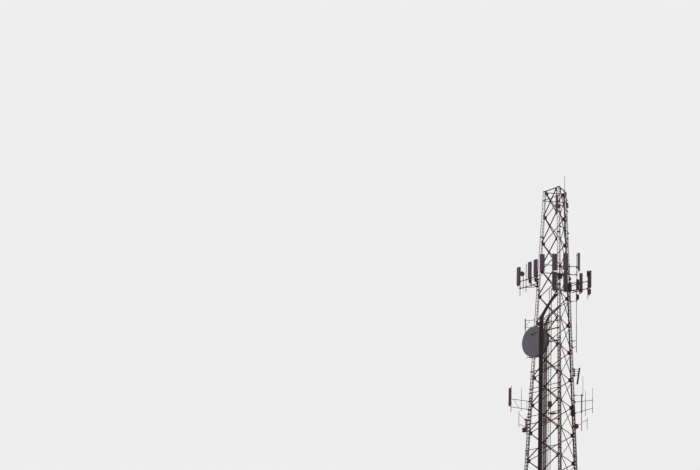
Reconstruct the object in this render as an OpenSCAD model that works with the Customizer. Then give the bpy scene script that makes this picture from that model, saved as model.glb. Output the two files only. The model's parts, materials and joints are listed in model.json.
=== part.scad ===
// Three-sided lattice tower whose legs are small lattice columns, with radio equipment.
// Millimetres, +Z up. The origin is under the middle of the front leg's base plate.

/* [Tower] */
// Height of one bracing bay
bay_h = 3048; // [2900:8:3200]
// Distance between leg centres at the base
base_face = 5950; // [5600:10:6300]
// Distance between leg centres at the top
top_face = 2300; // [2150:10:2450]

/* [Lattice legs] */
// Side of the three-cornered leg column, chord centre to chord centre
leg_w = 330; // [300:5:360]
// Chord bar across its corners, in the top length of a leg
chord_d = 56; // [52:1:60]
// Lacing bar, in the top length of a leg
lace_d = 20; // [18:1:22]
// Half gap between two lacing bars that meet on a chord
lace_gap = 52; // [48:1:60]
// Thickness of a joint plate
joint_t = 22; // [16:1:26]
// Joint plate beyond the chord centres
joint_edge = 62; // [52:1:72]

/* [Gussets and bracing] */
// Gusset plate thickness
gusset_t = 14; // [12:0.5:16]
// Gusset plate height
gusset_h = 440; // [420:5:480]
// Gusset plate reach from the chord centre
gusset_w = 270; // [250:5:300]
// Bracing angle, leg width
brace_a = 88; // [80:1:94]
// Bracing angle, thickness
brace_t = 8; // [7:0.5:10]
// Distance of a bracing end from the middle of its gusset
brace_rise = 100; // [90:2:110]

/* [Base] */
// Base plate side
base_w = 800; // [760:5:860]
// Base plate thickness
base_t = 50; // [40:1:60]
// Anchor hole circle
anchor_pcd = 660; // [640:5:690]
// Anchor hole
anchor_d = 40; // [36:1:44]

/* [Sector frames] */
// Pipe of the frames
pipe_d = 76; // [70:1:84]
// Pipe that carries an antenna
mast_d = 70; // [64:1:76]
// Distance of the front frame from its leg
front_out = 620; // [560:5:700]
// Distance of the left frame from its leg
left_out = 900; // [820:5:980]
// Distance of the right frame from its leg
right_out = 900; // [820:5:980]

/* [Panel antennas] */
// Panel width
panel_w = 540; // [500:5:570]
// Panel depth
panel_d = 200; // [180:5:220]
// Panel height
panel_h = 1900; // [1820:10:1960]

/* [Dish] */
// Shroud diameter
dish_d = 3350; // [3150:10:3550]
// Shroud length
shroud_l = 560; // [500:5:620]
// Depth of the reflector bowl
bowl_l = 380; // [350:5:410]
// Dish turned from the left side's normal
dish_yaw = 7; // [4:0.5:10]

/* [Ladders] */
// Distance of the cable ladder from the tower axis
ladder_out = 2770; // [2760:10:2860]
// Width of the cable ladder
ladder_w = 640; // [600:5:670]
// Distance of the climbing ladder from the tower axis
climb_in = 800; // [760:5:850]
// Width of the climbing ladder
climb_w = 420; // [390:5:450]
// Feeder cable
feeder_d = 48; // [44:1:54]

/* [Hidden] */
bays = 12;
tower_h = bays * bay_h;
steps = 8;
leg_turn = [-90, 30, 150];
base_r = base_face / sqrt(3);
top_r = top_face / sqrt(3);
tilt = atan((base_r - top_r) / tower_h);
face_tilt = atan((base_r - top_r) / 2 / tower_h);
leg_len = tower_h / cos(tilt);
pitch = leg_len / (bays * steps);
leg_r = leg_w / sqrt(3);
chord_grade = [1.34, 1.16, 1];
lace_grade = [2, 1.45, 1];
gusset_in = chord_d / 2 * cos(30) - 2;
gusset_out = gusset_in + gusset_t;
brace_end = 150;
clear_o = gusset_out + brace_a + 8;
joint_step = 2;
shade = [0.55, 0.53, 0.52];
dark = [0.22, 0.21, 0.22];
pale = [0.75, 0.74, 0.76];

function face_at(z) = top_face + (base_face - top_face) * (tower_h - z) / tower_h;
function side_at(z) = face_at(z) / (2 * sqrt(3));
function leg_at(i, z) = [face_at(z) / sqrt(3) * cos(leg_turn[i]),
    face_at(z) / sqrt(3) * sin(leg_turn[i]), z];
function tip(v) = [v.x, v.y * cos(tilt) + v.z * sin(tilt), v.z * cos(tilt) - v.y * sin(tilt)];
function spin(v, a) = [v.x * cos(a) - v.y * sin(a), v.x * sin(a) + v.y * cos(a), v.z];
function leg_pt(i, v) = leg_at(i, 0) + spin(tip(v), leg_turn[i] + 90);
function along(z) = z / cos(tilt);
// Point beside the chord that faces the next leg (s = 1) or the one before (s = -1).
function side_pt(i, s, e, o, t) = leg_pt(i % 3,
    [s * (leg_w / 2 + e / 2 + o * cos(30)), leg_r / 2 + e * cos(30) - o / 2, t]);
function side_dir(j) = let (a = leg_turn[j] + 60)
    [cos(a) * cos(face_tilt), sin(a) * cos(face_tilt), sin(face_tilt)];
function side_run(j) = let (a = leg_turn[j] + 150) [cos(a), sin(a), 0];
function flat_dir(j) = let (a = leg_turn[j] + 60) [cos(a), sin(a), 0];
function section_at(t) = t < join_1 * pitch ? 0 : t < join_2 * pitch ? 1 : 2;
function chord_w(t) = chord_d * chord_grade[section_at(t)];
function chord_f(t) = chord_w(t) / 2 * cos(30);
function level(k) = k == 0 ? gusset_h / 2 + 110 : k == bays ? leg_len - gusset_h / 2 - 30 : k * steps * pitch;

module on_site() translate([0, base_r, 0]) children();

module leg_frame(i)
    translate(leg_at(i, 0)) rotate([0, 0, leg_turn[i] + 90]) rotate([-tilt, 0, 0]) children();

module bar(p, q, d, n = 24) {
    v = q - p;
    l = norm(v);
    translate(p) rotate([0, acos(v.z / l), atan2(v.y, v.x)]) rotate(180 / n) cylinder(d = d, h = l, $fn = n);
}

module lay(p, z, n) {
    y0 = n - (n * z) * z;
    y = y0 / norm(y0);
    x = cross(y, z);
    multmatrix([[x.x, y.x, z.x, p.x], [x.y, y.y, z.y, p.y], [x.z, y.z, z.z, p.z], [0, 0, 0, 1]])
        children();
}

module beam(p, q, n)
    lay(p, (q - p) / norm(q - p), n) linear_extrude(norm(q - p)) children();

module angle_2d(a, t)
    polygon([[-a / 2, 0], [a / 2, 0], [a / 2, a], [a / 2 - t, a], [a / 2 - t, t], [-a / 2, t]]);

// Legs: three chords, zigzag lacing on the three sides, joint plates and gussets.
module plate_2d(edge) {
    r = leg_r + edge;
    c = edge * 0.75;
    polygon([for (k = [0:2]) for (s = [-1, 1])
        [r * cos(k * 120 - 90) - s * c * sin(k * 120 - 90),
        r * sin(k * 120 - 90) + s * c * cos(k * 120 - 90)]]);
}

module chords(t0, t1, d)
    for (k = [0:2])
        translate([leg_r * cos(k * 120 - 90), leg_r * sin(k * 120 - 90), t0])
            cylinder(d = d, h = t1 - t0, $fn = 6);

function chord_pt(k, t) = [leg_r * cos(k * 120 - 90), leg_r * sin(k * 120 - 90), t];

module lacing(k0, k1, d)
    for (k = [k0:k1 - 1])
        for (f = [0:2]) {
            a = k % 2 == 0 ? f : f + 1;
            b = k % 2 == 0 ? f + 1 : f;
            t0 = k * pitch + (k == 0 ? lace_gap + 110 : lace_gap);
            bar(chord_pt(a, t0), chord_pt(b, (k + 1) * pitch - lace_gap), d, 4);
        }

module gusset(t)
    for (s = [-1, 1])
        translate([s * leg_w / 2, leg_r / 2, t - gusset_h / 2])
            rotate(s == 1 ? 60 : 120)
                translate([-chord_d * 0.6, s == 1 ? -gusset_out : gusset_in, 0])
                    cube([chord_d * 0.6 + gusset_w, gusset_t, gusset_h]);

module leg(i, k0, k1, first, last) on_site() color(shade) {
    difference() {
        leg_frame(i) {
            g = section_at((k0 + 1) * pitch);
            chords(first ? -100 : k0 * pitch, k1 * pitch, chord_d * chord_grade[g]);
            lacing(k0, k1, lace_d * lace_grade[g]);
            for (k = [0:bays])
                if (k * steps >= k0 && k * steps <= k1) gusset(level(k));
            if (!first)
                translate([0, 0, k0 * pitch]) linear_extrude(joint_t) plate_2d(joint_edge);
            translate([0, 0, k1 * pitch - joint_t]) linear_extrude(joint_t) plate_2d(joint_edge);
            for (k = [2 * steps + joint_step:2 * steps:bays * steps])
                if (k > k0 + 1 && k < k1 - 1)
                    translate([0, 0, k * pitch - joint_t]) linear_extrude(2 * joint_t)
                        plate_2d(joint_edge);
        }
        if (first)
            translate(leg_at(i, 0) - [base_w, base_w, 400]) cube([2 * base_w, 2 * base_w, 400 + base_t]);
    }
    if (first)
        translate(leg_at(i, 0) + [0, 0, base_t]) rotate(leg_turn[i] + 90)
            linear_extrude(joint_t) plate_2d(joint_edge);
}

join_1 = 4 * steps + joint_step;
join_2 = 8 * steps + joint_step;
module leg_front_low() leg(0, 0, join_1, true, false);
module leg_front_mid() leg(0, join_1, join_2, false, false);
module leg_front_top() leg(0, join_2, bays * steps, false, true);
module leg_right_low() leg(1, 0, join_1, true, false);
module leg_right_mid() leg(1, join_1, join_2, false, false);
module leg_right_top() leg(1, join_2, bays * steps, false, true);
module leg_left_low() leg(2, 0, join_1, true, false);
module leg_left_mid() leg(2, join_1, join_2, false, false);
module leg_left_top() leg(2, join_2, bays * steps, false, true);

module base_plate(i) on_site() color(shade)
    translate(leg_at(i, 0)) rotate(leg_turn[i] + 90) difference() {
        linear_extrude(base_t) {
            c = base_w * 0.12;
            h = base_w / 2;
            polygon([[-h + c, -h], [h - c, -h], [h, -h + c], [h, h - c], [h - c, h], [-h + c, h],
                [-h, h - c], [-h, -h + c]]);
        }
        for (k = [0:5])
            rotate(k * 60 + 30) translate([anchor_pcd / 2, 0, -1])
                cylinder(d = anchor_d, h = base_t + 2, $fn = 32);
    }

module base_plate_front() base_plate(0);
module base_plate_right() base_plate(1);
module base_plate_left() base_plate(2);

// Crossed angles of one side. One rises outside the gussets, one inside, with a packer between.
module cross_bay(j, k) {
    n = side_dir(j);
    p1 = side_pt(j, 1, brace_end, gusset_out, level(k) + brace_rise);
    q1 = side_pt(j + 1, -1, brace_end, gusset_out, level(k + 1) - brace_rise);
    p2 = side_pt(j, 1, brace_end, gusset_in, level(k + 1) - brace_rise);
    q2 = side_pt(j + 1, -1, brace_end, gusset_in, level(k) + brace_rise);
    over = brace_a * 0.6;
    d1 = (q1 - p1) / norm(q1 - p1);
    d2 = (q2 - p2) / norm(q2 - p2);
    beam(p1 - d1 * over, q1 + d1 * over, n) angle_2d(brace_a, brace_t);
    beam(p2 - d2 * over, q2 + d2 * over, n) mirror([0, 1]) angle_2d(brace_a, brace_t);
    w0 = norm([p1.x - q2.x, p1.y - q2.y]);
    w1 = norm([p2.x - q1.x, p2.y - q1.y]);
    c = p1 + (q1 - p1) * w0 / (w0 + w1);
    beam(c + n * 2, c - n * (gusset_t + 2), [0, 0, 1]) square(brace_a * 0.8, center = true);
}

module bracing(j) on_site() color(shade)
    for (k = [0:bays - 1]) cross_bay(j, k);

module bracing_right() bracing(0);
module bracing_back() bracing(1);
module bracing_left() bracing(2);

// Flat bars on the chords and angles on the top gussets.
module top_frame() on_site() color(shade)
    for (j = [0:2]) {
        n = side_dir(j);
        t = level(bays) + brace_rise + 55;
        beam(side_pt(j, 1, 20, gusset_out, t), side_pt(j + 1, -1, 20, gusset_out, t), n)
            angle_2d(brace_a, brace_t);
        tr = along(bay_h * 11.64);
        f = chord_f(tr);
        beam(side_pt(j, 1, -leg_w, f, tr), side_pt(j + 1, -1, -leg_w, f, tr), n)
            translate([-brace_a / 2, 0]) square([brace_a, gusset_t - 6]);
    }

// Clamp blocks seat on the flats of the leg's outer chord, or on those of one side.
module clamp_corner(i, t, w, th, h) leg_frame(i)
    translate([-w / 2, -leg_r - chord_f(t) - th, t - h / 2]) cube([w, th, h]);

module clamp_side(i, s, t, w, th, h, off = 0) leg_frame(i)
    translate([s * leg_w / 4, -leg_r / 4, t]) rotate(s * 60)
        translate([-w / 2, -chord_f(t) - off - th, -h / 2]) cube([w, th, h]);

function corner_pt(i, o, t) = leg_pt(i, [0, -leg_r - chord_f(t) - o, t]);
function flank_pt(i, s, o, t) = leg_pt(i, [s * (leg_w / 4 + (chord_f(t) + o) * cos(30)),
    -leg_r / 4 - (chord_f(t) + o) / 2, t]);
// Spot on the leg's inner side, clear of its joint plates.
function inner_pt(i, x, o, t) = leg_pt(i, [x, leg_r / 2 + joint_edge * 1.15 + o, t]);

// Frame of two level pipes with upright masts. Its own frame has x along the pipes, -y outward.
// zr is the height at which the distance from the leg is measured.
function frame_pt(i, turn, zr, out, x, y, z) =
    leg_at(i, zr) + spin([x, y - out - leg_r, z - zr], leg_turn[i] + 90 + turn);

module sector(i, turn, s, zs, out, mid, half, masts) {
    zr = zs[0];
    for (z = zs) {
        t = along(z);
        if (s == 0) clamp_corner(i, t, 150, 90, 160);
        else clamp_side(i, s, t, leg_w + chord_d, 90, 160);
        c = s == 0 ? corner_pt(i, 60, t) : flank_pt(i, s, 60, t);
        for (x = [mid - half * 0.45, mid + half * 0.45])
            bar(c, frame_pt(i, turn, zr, out, x, 0, z), pipe_d * 0.8);
        bar(frame_pt(i, turn, zr, out, mid - half, 0, z), frame_pt(i, turn, zr, out, mid + half, 0, z),
            pipe_d);
    }
    for (m = masts)
        translate(frame_pt(i, turn, zr, out, m[0], -(pipe_d + mast_d) / 2 + 8, m[1]))
            cylinder(d = mast_d, h = m[2] - m[1], $fn = 24);
}

// Unit on a mast: a body in front, held by two collars. The mast is at its origin.
module on_mast(w, d, h, gap, turn = 0) rotate(turn) {
    c = min(w, d) * 0.18;
    y0 = -mast_d / 2 - gap;
    translate([0, y0 - d, -h / 2]) linear_extrude(h)
        polygon([[-w / 2 + c, 0], [w / 2 - c, 0], [w / 2, c], [w / 2, d - c / 2], [w / 2 - c / 2, d],
            [-w / 2 + c / 2, d], [-w / 2, d - c / 2], [-w / 2, c]]);
    for (z = [-0.36, 0.36])
        difference() {
            translate([-60, y0 - 4, z * h - 35]) cube([120, gap + mast_d + 24, 70]);
            translate([0, 0, z * h - 36]) cylinder(d = mast_d + 0.4, h = 72, $fn = 24);
        }
}

front_z = [bay_h * 8.56, bay_h * 8.86];
left_z = [bay_h * 8.36, bay_h * 8.63];
right_z = [bay_h * 8.33, bay_h * 8.6];
// Places of the masts along each frame, then their lower and upper ends.
front_x = [-2060, -723, 500, 1790];
left_x = [-1790, -1265, 80, 1038];
right_x = [50, -500, -1830];
front_masts = [[front_x[0], bay_h * 8.45, bay_h * 9.22], [front_x[1], bay_h * 7.86, bay_h * 9.27],
    [front_x[2], bay_h * 7.86, bay_h * 9.31], [front_x[3], bay_h * 7.98, bay_h * 9.36],
    [-130, bay_h * 8.34, bay_h * 8.93], [980, bay_h * 7.86, bay_h * 8.92]];
left_masts = [[left_x[0], bay_h * 8.07, bay_h * 9.14], [left_x[1], bay_h * 8.28, bay_h * 8.95],
    [-780, bay_h * 8.15, bay_h * 9.21], [left_x[2], bay_h * 8.26, bay_h * 9.18],
    [left_x[3], bay_h * 8.27, bay_h * 9.22]];
right_masts = [[right_x[0], bay_h * 7.95, bay_h * 8.72], [right_x[1], bay_h * 8.2, bay_h * 9.02],
    [right_x[2], bay_h * 7.93, bay_h * 9.02]];

module frame_front() on_site() color(shade) {
    sector(0, 0, 0, front_z, front_out, -140, 2080, front_masts);
    bar(frame_pt(0, 0, front_z[0], front_out, front_x[1] - 80, -12, bay_h * 7.92),
        frame_pt(0, 0, front_z[0], front_out, 1060, -12, bay_h * 7.92), 54, 16);
}
module frame_left() on_site() color(shade)
    sector(2, 60, 1, left_z, left_out, -420, 1720, left_masts);
module frame_right() on_site() color(shade)
    sector(1, 0, 0, right_z, right_out, -820, 1540, right_masts);

module unit_at(i, turn, zr, out, x, z, w, d, h, gap, yaw)
    translate(frame_pt(i, turn, zr, out, x, -(pipe_d + mast_d) / 2 + 8, z))
        rotate(leg_turn[i] + 90 + turn) on_mast(w, d, h, gap, yaw);
module on_front(x, z, w, d, h, gap, yaw) unit_at(0, 0, front_z[0], front_out, x, z, w, d, h, gap, yaw);
module on_left(x, z, w, d, h, gap, yaw) unit_at(2, 60, left_z[0], left_out, x, z, w, d, h, gap, yaw);
module on_right(x, z, w, d, h, gap, yaw) unit_at(1, 0, right_z[0], right_out, x, z, w, d, h, gap, yaw);

module panels_front() on_site() color(pale) {
    on_front(front_x[0], bay_h * 8.897, panel_w, panel_d, panel_h, 90, -8);
    on_front(front_x[1], bay_h * 8.96, panel_w, panel_d, panel_h * 0.94, 90, 0);
    on_front(front_x[2], bay_h * 9, panel_w, panel_d, panel_h * 0.94, 90, 0);
    on_front(front_x[3], bay_h * 9.04, panel_w * 0.8, panel_d, panel_h, 90, 66);
    on_front(front_x[1], bay_h * 8.254, panel_w * 0.95, panel_d, panel_h * 1.03, 90, 0);
    on_front(front_x[2], bay_h * 8.26, panel_w * 0.86, panel_d, panel_h * 1.13, 90, 0);
}
module panels_left() on_site() color(pale) {
    on_left(left_x[0], bay_h * 8.8, panel_w, panel_d, panel_h * 1.07, 90, -5);
    on_left(left_x[2], bay_h * 8.892, panel_w * 0.9, panel_d, panel_h, 90, 0);
    on_left(left_x[3], bay_h * 8.925, panel_w * 0.95, panel_d, panel_h * 0.98, 90, 5);
}
module panels_right() on_site() color(pale) {
    on_right(right_x[1], bay_h * 8.65, panel_w * 0.62, panel_d, panel_h * 1.12, 90, 0);
    on_right(right_x[2], bay_h * 8.68, panel_w * 1.05, panel_d, panel_h, 90, -20);
}

// Radio units: behind and beside the lower masts of the front frame, and on the two others.
radio = [340, 200, 560];
module radios_front() on_site() color(dark) {
    for (x = [front_x[1], front_x[2]])
        for (k = [8.12, 8.36])
            on_front(x, bay_h * k, radio[0], radio[1], radio[2], 40, 180);
    on_front(-130, bay_h * 8.46, radio[0] * 1.6, radio[1], radio[2], 40, 0);
    on_front(980, bay_h * 8.06, radio[0] * 1.2, radio[1], radio[2] * 1.7, 40, 0);
    on_front(980, bay_h * 8.38, radio[0] * 0.8, radio[1] * 0.8, radio[2] * 0.5, 40, 0);
    on_front(front_x[3], bay_h * 8.18, radio[0] * 0.85, radio[1], radio[2] * 2, 60, 20);
    on_front(front_x[0], bay_h * 8.78, radio[0], radio[1], radio[2] * 0.6, 40, 180);
}
module radios_side() on_site() color(dark) {
    for (x = [left_x[2], left_x[3]])
        on_left(x, bay_h * 8.49, radio[0] * 0.9, radio[1] * 0.8, radio[2] * 0.7, 40, 0);
    on_right(right_x[2], bay_h * 8.21, radio[0] * 1.15, radio[1], radio[2], 60, -20);
    on_right(right_x[0], bay_h * 8.14, radio[0] * 0.9, radio[1], radio[2], 50, 0);
}

// Level beam across a side, on blocks that stand clear of the outer braces.
module side_beam(j, z, b) {
    t = along(z);
    for (e = [[j, 1], [(j + 1) % 3, -1]])
        clamp_side(e[0], e[1], t, leg_w + chord_d, clear_o + 4 - chord_f(t), b * 1.3);
    p = flank_pt(j, 1, clear_o - chord_f(t), t);
    q = flank_pt((j + 1) % 3, -1, clear_o - chord_f(t), t);
    d = (q - p) / norm(q - p);
    beam(p - d * 90, q + d * 90, side_dir(j)) translate([-b / 2, 0]) square(b);
}
function beam_face(z) = side_at(z) + leg_r / 2 + clear_o;

// Spot on the left side: s along it toward the front leg, o outward from the tower axis.
function left_pt(s, o, z) = flat_dir(2) * o + side_run(2) * s + [0, 0, z];

dish_z = bay_h * 6.15;
dish_s = -527;
dish_beams = [bay_h * 6.14, bay_h * 6.6];
dish_b = 100;
mount_d = 168;
mount_o = beam_face(dish_beams[0]) + dish_b + mount_d / 2 + 6;
dish_dir = spin(flat_dir(2), dish_yaw);
dish_back = left_pt(dish_s, mount_o, dish_z);

module dish_mount() on_site() color(shade) {
    for (z = dish_beams) side_beam(2, z, dish_b);
    translate(left_pt(dish_s, mount_o, dish_z - 1150)) cylinder(d = mount_d, h = 2760, $fn = 40);
    for (z = dish_beams) {
        o = beam_face(z) + 20;
        beam(left_pt(dish_s, o, z), left_pt(dish_s, mount_o, z), [0, 0, 1]) square(150, center = true);
    }
}

hub_l = 110;
module dish() on_site() color(pale)
    lay(dish_back + dish_dir * (mount_d / 2 + 0.2), dish_dir, [0, 0, 1]) {
        translate([0, 0, -60]) difference() {
            translate([-170, -260, 0]) cube([340, 520, 60 + hub_l]);
            translate([0, 0, 60 - mount_d / 2 - 0.2]) rotate([90, 0, 0])
                cylinder(d = mount_d + 0.4, h = 700, center = true, $fn = 40);
        }
        rotate_extrude($fn = 120) polygon([
            [0, hub_l - 20], [300, hub_l - 20], [dish_d * 0.25, hub_l + bowl_l * 0.22],
            [dish_d * 0.38, hub_l + bowl_l * 0.55], [dish_d / 2, hub_l + bowl_l],
            [dish_d / 2, hub_l + bowl_l + shroud_l], [dish_d / 2 - 40, hub_l + bowl_l + shroud_l],
            [dish_d / 2 - 40, hub_l + bowl_l + 30], [dish_d * 0.38, hub_l + bowl_l * 0.55 + 60],
            [dish_d * 0.25, hub_l + bowl_l * 0.22 + 60], [0, hub_l + 40]]);
    }

module dish_radome() on_site() color(pale)
    lay(dish_back + dish_dir * (mount_d / 2 + 0.2 + hub_l + bowl_l + shroud_l), dish_dir, [0, 0, 1])
        rotate_extrude($fn = 120) polygon([[0, 0], [dish_d / 2 + 20, 0], [dish_d / 2 + 20, 50],
            [dish_d / 2 - 60, 60], [0, 70]]);

// Ladders on the left side: an outer one with the feeder cables, and two inside the tower.
ladder_s = 935;
ladder_top = bay_h * 6.93;
beam_levels = [bay_h * 1.2, bay_h * 3.28, bay_h * 5.2, bay_h * 6.87];
tie_levels = [bay_h * 2.35, bay_h * 3.56, bay_h * 4.41, bay_h * 4.57];
rail_b = 50;
climb_s = 80;
tray_s = -640;
tray_w = 600;
module stubs(s, w, b, o, z, o1)
    for (e = [-1, 1])
        beam(left_pt(s + e * (w - rail_b) / 2, o, z), left_pt(s + e * (w - rail_b) / 2, o1, z), [0, 0, 1])
            square(b, center = true);
module rails(s, w, o, t, z0, z1)
    for (e = [-1, 1])
        beam(left_pt(s + e * (w - rail_b) / 2, o, z0), left_pt(s + e * (w - rail_b) / 2, o, z1), flat_dir(2))
            square([rail_b, t], center = true);

module cable_beams() on_site() color(shade) {
    for (z = beam_levels) {
        side_beam(2, z, 70);
        stubs(ladder_s, ladder_w, 50, beam_face(z) + 20, z, ladder_out);
        stubs(climb_s, climb_w, 44, beam_face(z) + 30, z, climb_in + 30);
        stubs(tray_s, tray_w, 44, beam_face(z) + 30, z, climb_in + 30);
    }
    for (z = tie_levels) side_beam(2, z, 60);
}

module cable_ladder() on_site() color(shade) {
    rails(ladder_s, ladder_w, ladder_out + 20, 40, bay_h * 0.3, ladder_top);
    for (k = [0:floor((ladder_top - bay_h * 0.3) / 762) - 1])
        let (z = bay_h * 0.3 + 300 + k * 762)
            beam(left_pt(ladder_s - ladder_w / 2 + 10, ladder_out + 20, z),
                left_pt(ladder_s + ladder_w / 2 - 10, ladder_out + 20, z), flat_dir(2))
                square([34, 40], center = true);
}

cables = 10;
cable_gap = (ladder_w - feeder_d - 20) / (cables - 1);
module run(ps, d) {
    for (k = [0:len(ps) - 2])
        let (v = (ps[k + 1] - ps[k]) / norm(ps[k + 1] - ps[k]))
            bar(ps[k], ps[k + 1] + v * (k < len(ps) - 2 ? d * 0.2 : 0), d, 8);
}

module feeder_cables() on_site() color(dark)
    for (k = [0:cables - 1]) {
        s = ladder_s + (k - (cables - 1) / 2) * cable_gap;
        o = ladder_out + 40 + feeder_d / 2 + 0.3;
        run([left_pt(s, o, bay_h * 0.25), left_pt(s, o, bay_h * 6.83), left_pt(s, 2690, bay_h * 7),
            left_pt(s + 70, 2480, bay_h * 7.15), left_pt(s + 260, 2200, bay_h * 7.375),
            left_pt(s + 600, 1890, bay_h * 7.6), left_pt(s + 1110, 1500, bay_h * 7.85)], feeder_d);
    }

module inner_ladders() on_site() color(shade) {
    top = bay_h * 8.2;
    rails(climb_s, climb_w, climb_in + 5, 50, 120, top);
    for (k = [0:floor((top - 400) / 381)])
        beam(left_pt(climb_s - climb_w / 2 + 10, climb_in + 5, 300 + k * 381),
            left_pt(climb_s + climb_w / 2 - 10, climb_in + 5, 300 + k * 381), flat_dir(2))
            circle(d = 24, $fn = 6);
    tray_top = bay_h * 7.02;
    rails(tray_s, tray_w, climb_in + 5, 50, 300, tray_top);
    for (k = [0:floor((tray_top - 700) / 762)])
        beam(left_pt(tray_s - tray_w / 2 + 10, climb_in + 5, 500 + k * 762),
            left_pt(tray_s + tray_w / 2 - 10, climb_in + 5, 500 + k * 762), flat_dir(2))
            square([34, 34], center = true);
}

// Upright pipe outside the right side that ends in the lightning rod.
rod_s = -380;
rod_levels = [bay_h * 10.45, bay_h * 11.28];
module lightning_mast() on_site() color(shade) {
    d = 70;
    b = 50;
    o = beam_face(rod_levels[0]) + b + d / 2 - 6;
    p = flat_dir(0) * o + side_run(0) * rod_s;
    translate([p.x, p.y, bay_h * 10.1]) cylinder(d = d, h = bay_h * 1.9, $fn = 24);
    translate([p.x, p.y, bay_h * 11.98]) cylinder(d = 44, h = bay_h * 0.52, $fn = 24);
    for (z = rod_levels) {
        side_beam(0, z, b);
        q = flat_dir(0) * (beam_face(z) + b / 2) + side_run(0) * rod_s;
        beam([q.x, q.y, z], [p.x, p.y, z], [0, 0, 1]) square(b * 0.9, center = true);
    }
}

// Narrow panel and a small unit on the front leg, another unit on the right leg, near the top.
module top_antennas() on_site() color(pale) {
    zs = [bay_h * 11, bay_h * 11.42];
    x = -320;
    for (z = zs) {
        clamp_corner(0, along(z), 130, 70, 120);
        bar(corner_pt(0, 40, along(z)), frame_pt(0, 0, zs[0], 150, x, 0, z), 50);
    }
    translate(frame_pt(0, 0, zs[0], 150, x, 0, bay_h * 10.9))
        cylinder(d = mast_d, h = bay_h * 0.86, $fn = 24);
    translate(frame_pt(0, 0, zs[0], 150, x, 0, bay_h * 11.27)) rotate(leg_turn[0] + 90)
        on_mast(panel_w * 0.5, panel_d * 0.65, panel_h * 1.08, 60, 0);
    clamp_corner(0, along(bay_h * 11.2), 260, 150, 420);
    clamp_side(1, -1, along(bay_h * 11.51), leg_w, 170, 560);
    clamp_side(1, -1, along(bay_h * 11.72), leg_w + chord_d, 130, 60);
}

// Level arm on a clamp, going straight out from a side of the leg.
function out_pt(i, a, zr, o, z) = leg_at(i, zr) + [o * cos(a), o * sin(a), z - zr];
function flank_at(i, s, z) = flank_pt(i, s, 60, along(z));
module flank_arm(i, s, z, q, d) {
    clamp_side(i, s, along(z), leg_w + chord_d, 90, 150);
    bar(flank_at(i, s, z), q, d, 12);
}
module tube(p, z1, d) translate(p) cylinder(d = d, h = z1 - p.z, $fn = 24);

whip_zr = bay_h * 8;
whip_o = 850;
whip_z = [bay_h * 7.89, bay_h * 6.42, bay_h * 6.185];
module long_whip() on_site() color(pale) {
    a = leg_turn[1] - 60;
    for (z = whip_z) flank_arm(1, -1, z, out_pt(1, a, whip_zr, whip_o, z), 60);
    tube(out_pt(1, a, whip_zr, whip_o, bay_h * 5.98), bay_h * 7, 76);
    tube(out_pt(1, a, whip_zr, whip_o, bay_h * 6.99), bay_h * 8.29, 60);
}

// Two upright strips joined by level bars; the outer one leans.
bracket_z = [bay_h * 4.83, bay_h * 5.42];
function bracket_o(z) = 410 + 345 * (z - bracket_z[0]) / (bracket_z[1] - bracket_z[0]);
module bracket_antenna() on_site() color(shade) {
    for (z = [bay_h * 5.38, bay_h * 5.15])
        clamp_side(1, -1, along(z), leg_w + chord_d, 90, 120);
    for (z = [bay_h * 5.38, bay_h * 5.3, bay_h * 5.22, bay_h * 5.15])
        bar(flank_pt(1, -1, 60, along(z)), flank_pt(1, -1, bracket_o(z), along(z)), 50, 12);
    bar(flank_pt(1, -1, bracket_o(bracket_z[1]), along(bracket_z[1])),
        flank_pt(1, -1, bracket_o(bracket_z[0]), along(bracket_z[0])), 200, 8);
    bar(flank_pt(1, -1, 150, along(bay_h * 5.42)), flank_pt(1, -1, 150, along(bay_h * 5.12)), 130, 8);
}

// Right arm: thick pipe, three whip mounts and a lower stub.
right_zr = bay_h * 4.1;
right_o = [950, 1085, 1385, 2175];
module right_arm() on_site() color(shade) {
    a = leg_turn[1] - 60;
    flank_arm(1, -1, bay_h * 4.195, out_pt(1, a, right_zr, right_o[3] + 60, bay_h * 4.235), 60);
    flank_arm(1, -1, bay_h * 3.8, out_pt(1, a, right_zr, right_o[3] + 60, bay_h * 3.945), 60);
    flank_arm(1, -1, bay_h * 4.44, out_pt(1, a, right_zr, right_o[1], bay_h * 4.44), 60);
    flank_arm(1, -1, bay_h * 3.39, out_pt(1, a, right_zr, right_o[0], bay_h * 3.39), 56);
    tube(out_pt(1, a, right_zr, right_o[0], bay_h * 3.14), bay_h * 3.8, 76);
    tube(out_pt(1, a, right_zr, right_o[0], bay_h * 3.79), bay_h * 4.475, 130);
    tube(out_pt(1, a, right_zr, right_o[1], bay_h * 4.38), bay_h * 4.5, 56);
    tube(out_pt(1, a, right_zr, right_o[2], bay_h * 3.67), bay_h * 4.3, 56);
    tube(out_pt(1, a, right_zr, right_o[3], bay_h * 3.76), bay_h * 4.3, 56);
    bar(out_pt(1, a, right_zr, right_o[0], bay_h * 3.44), out_pt(1, a, right_zr, 1620, bay_h * 3.535), 50, 12);
    tube(out_pt(1, a, right_zr, 1580, bay_h * 3.2), bay_h * 3.6, 60);
}

module whip_antennas() on_site() color(pale) {
    a = leg_turn[1] - 60;
    tube(out_pt(1, a, right_zr, right_o[1], bay_h * 4.5), bay_h * 5.14, 44);
    tube(out_pt(1, a, right_zr, right_o[2], bay_h * 4.3), bay_h * 4.6, 40);
    tube(out_pt(1, a, right_zr, right_o[3], bay_h * 4.3), bay_h * 4.68, 40);
    tube(out_pt(2, leg_turn[2] + 60, left_zr, left_o[1], bay_h * 4.24), bay_h * 4.546, 40);
}

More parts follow.
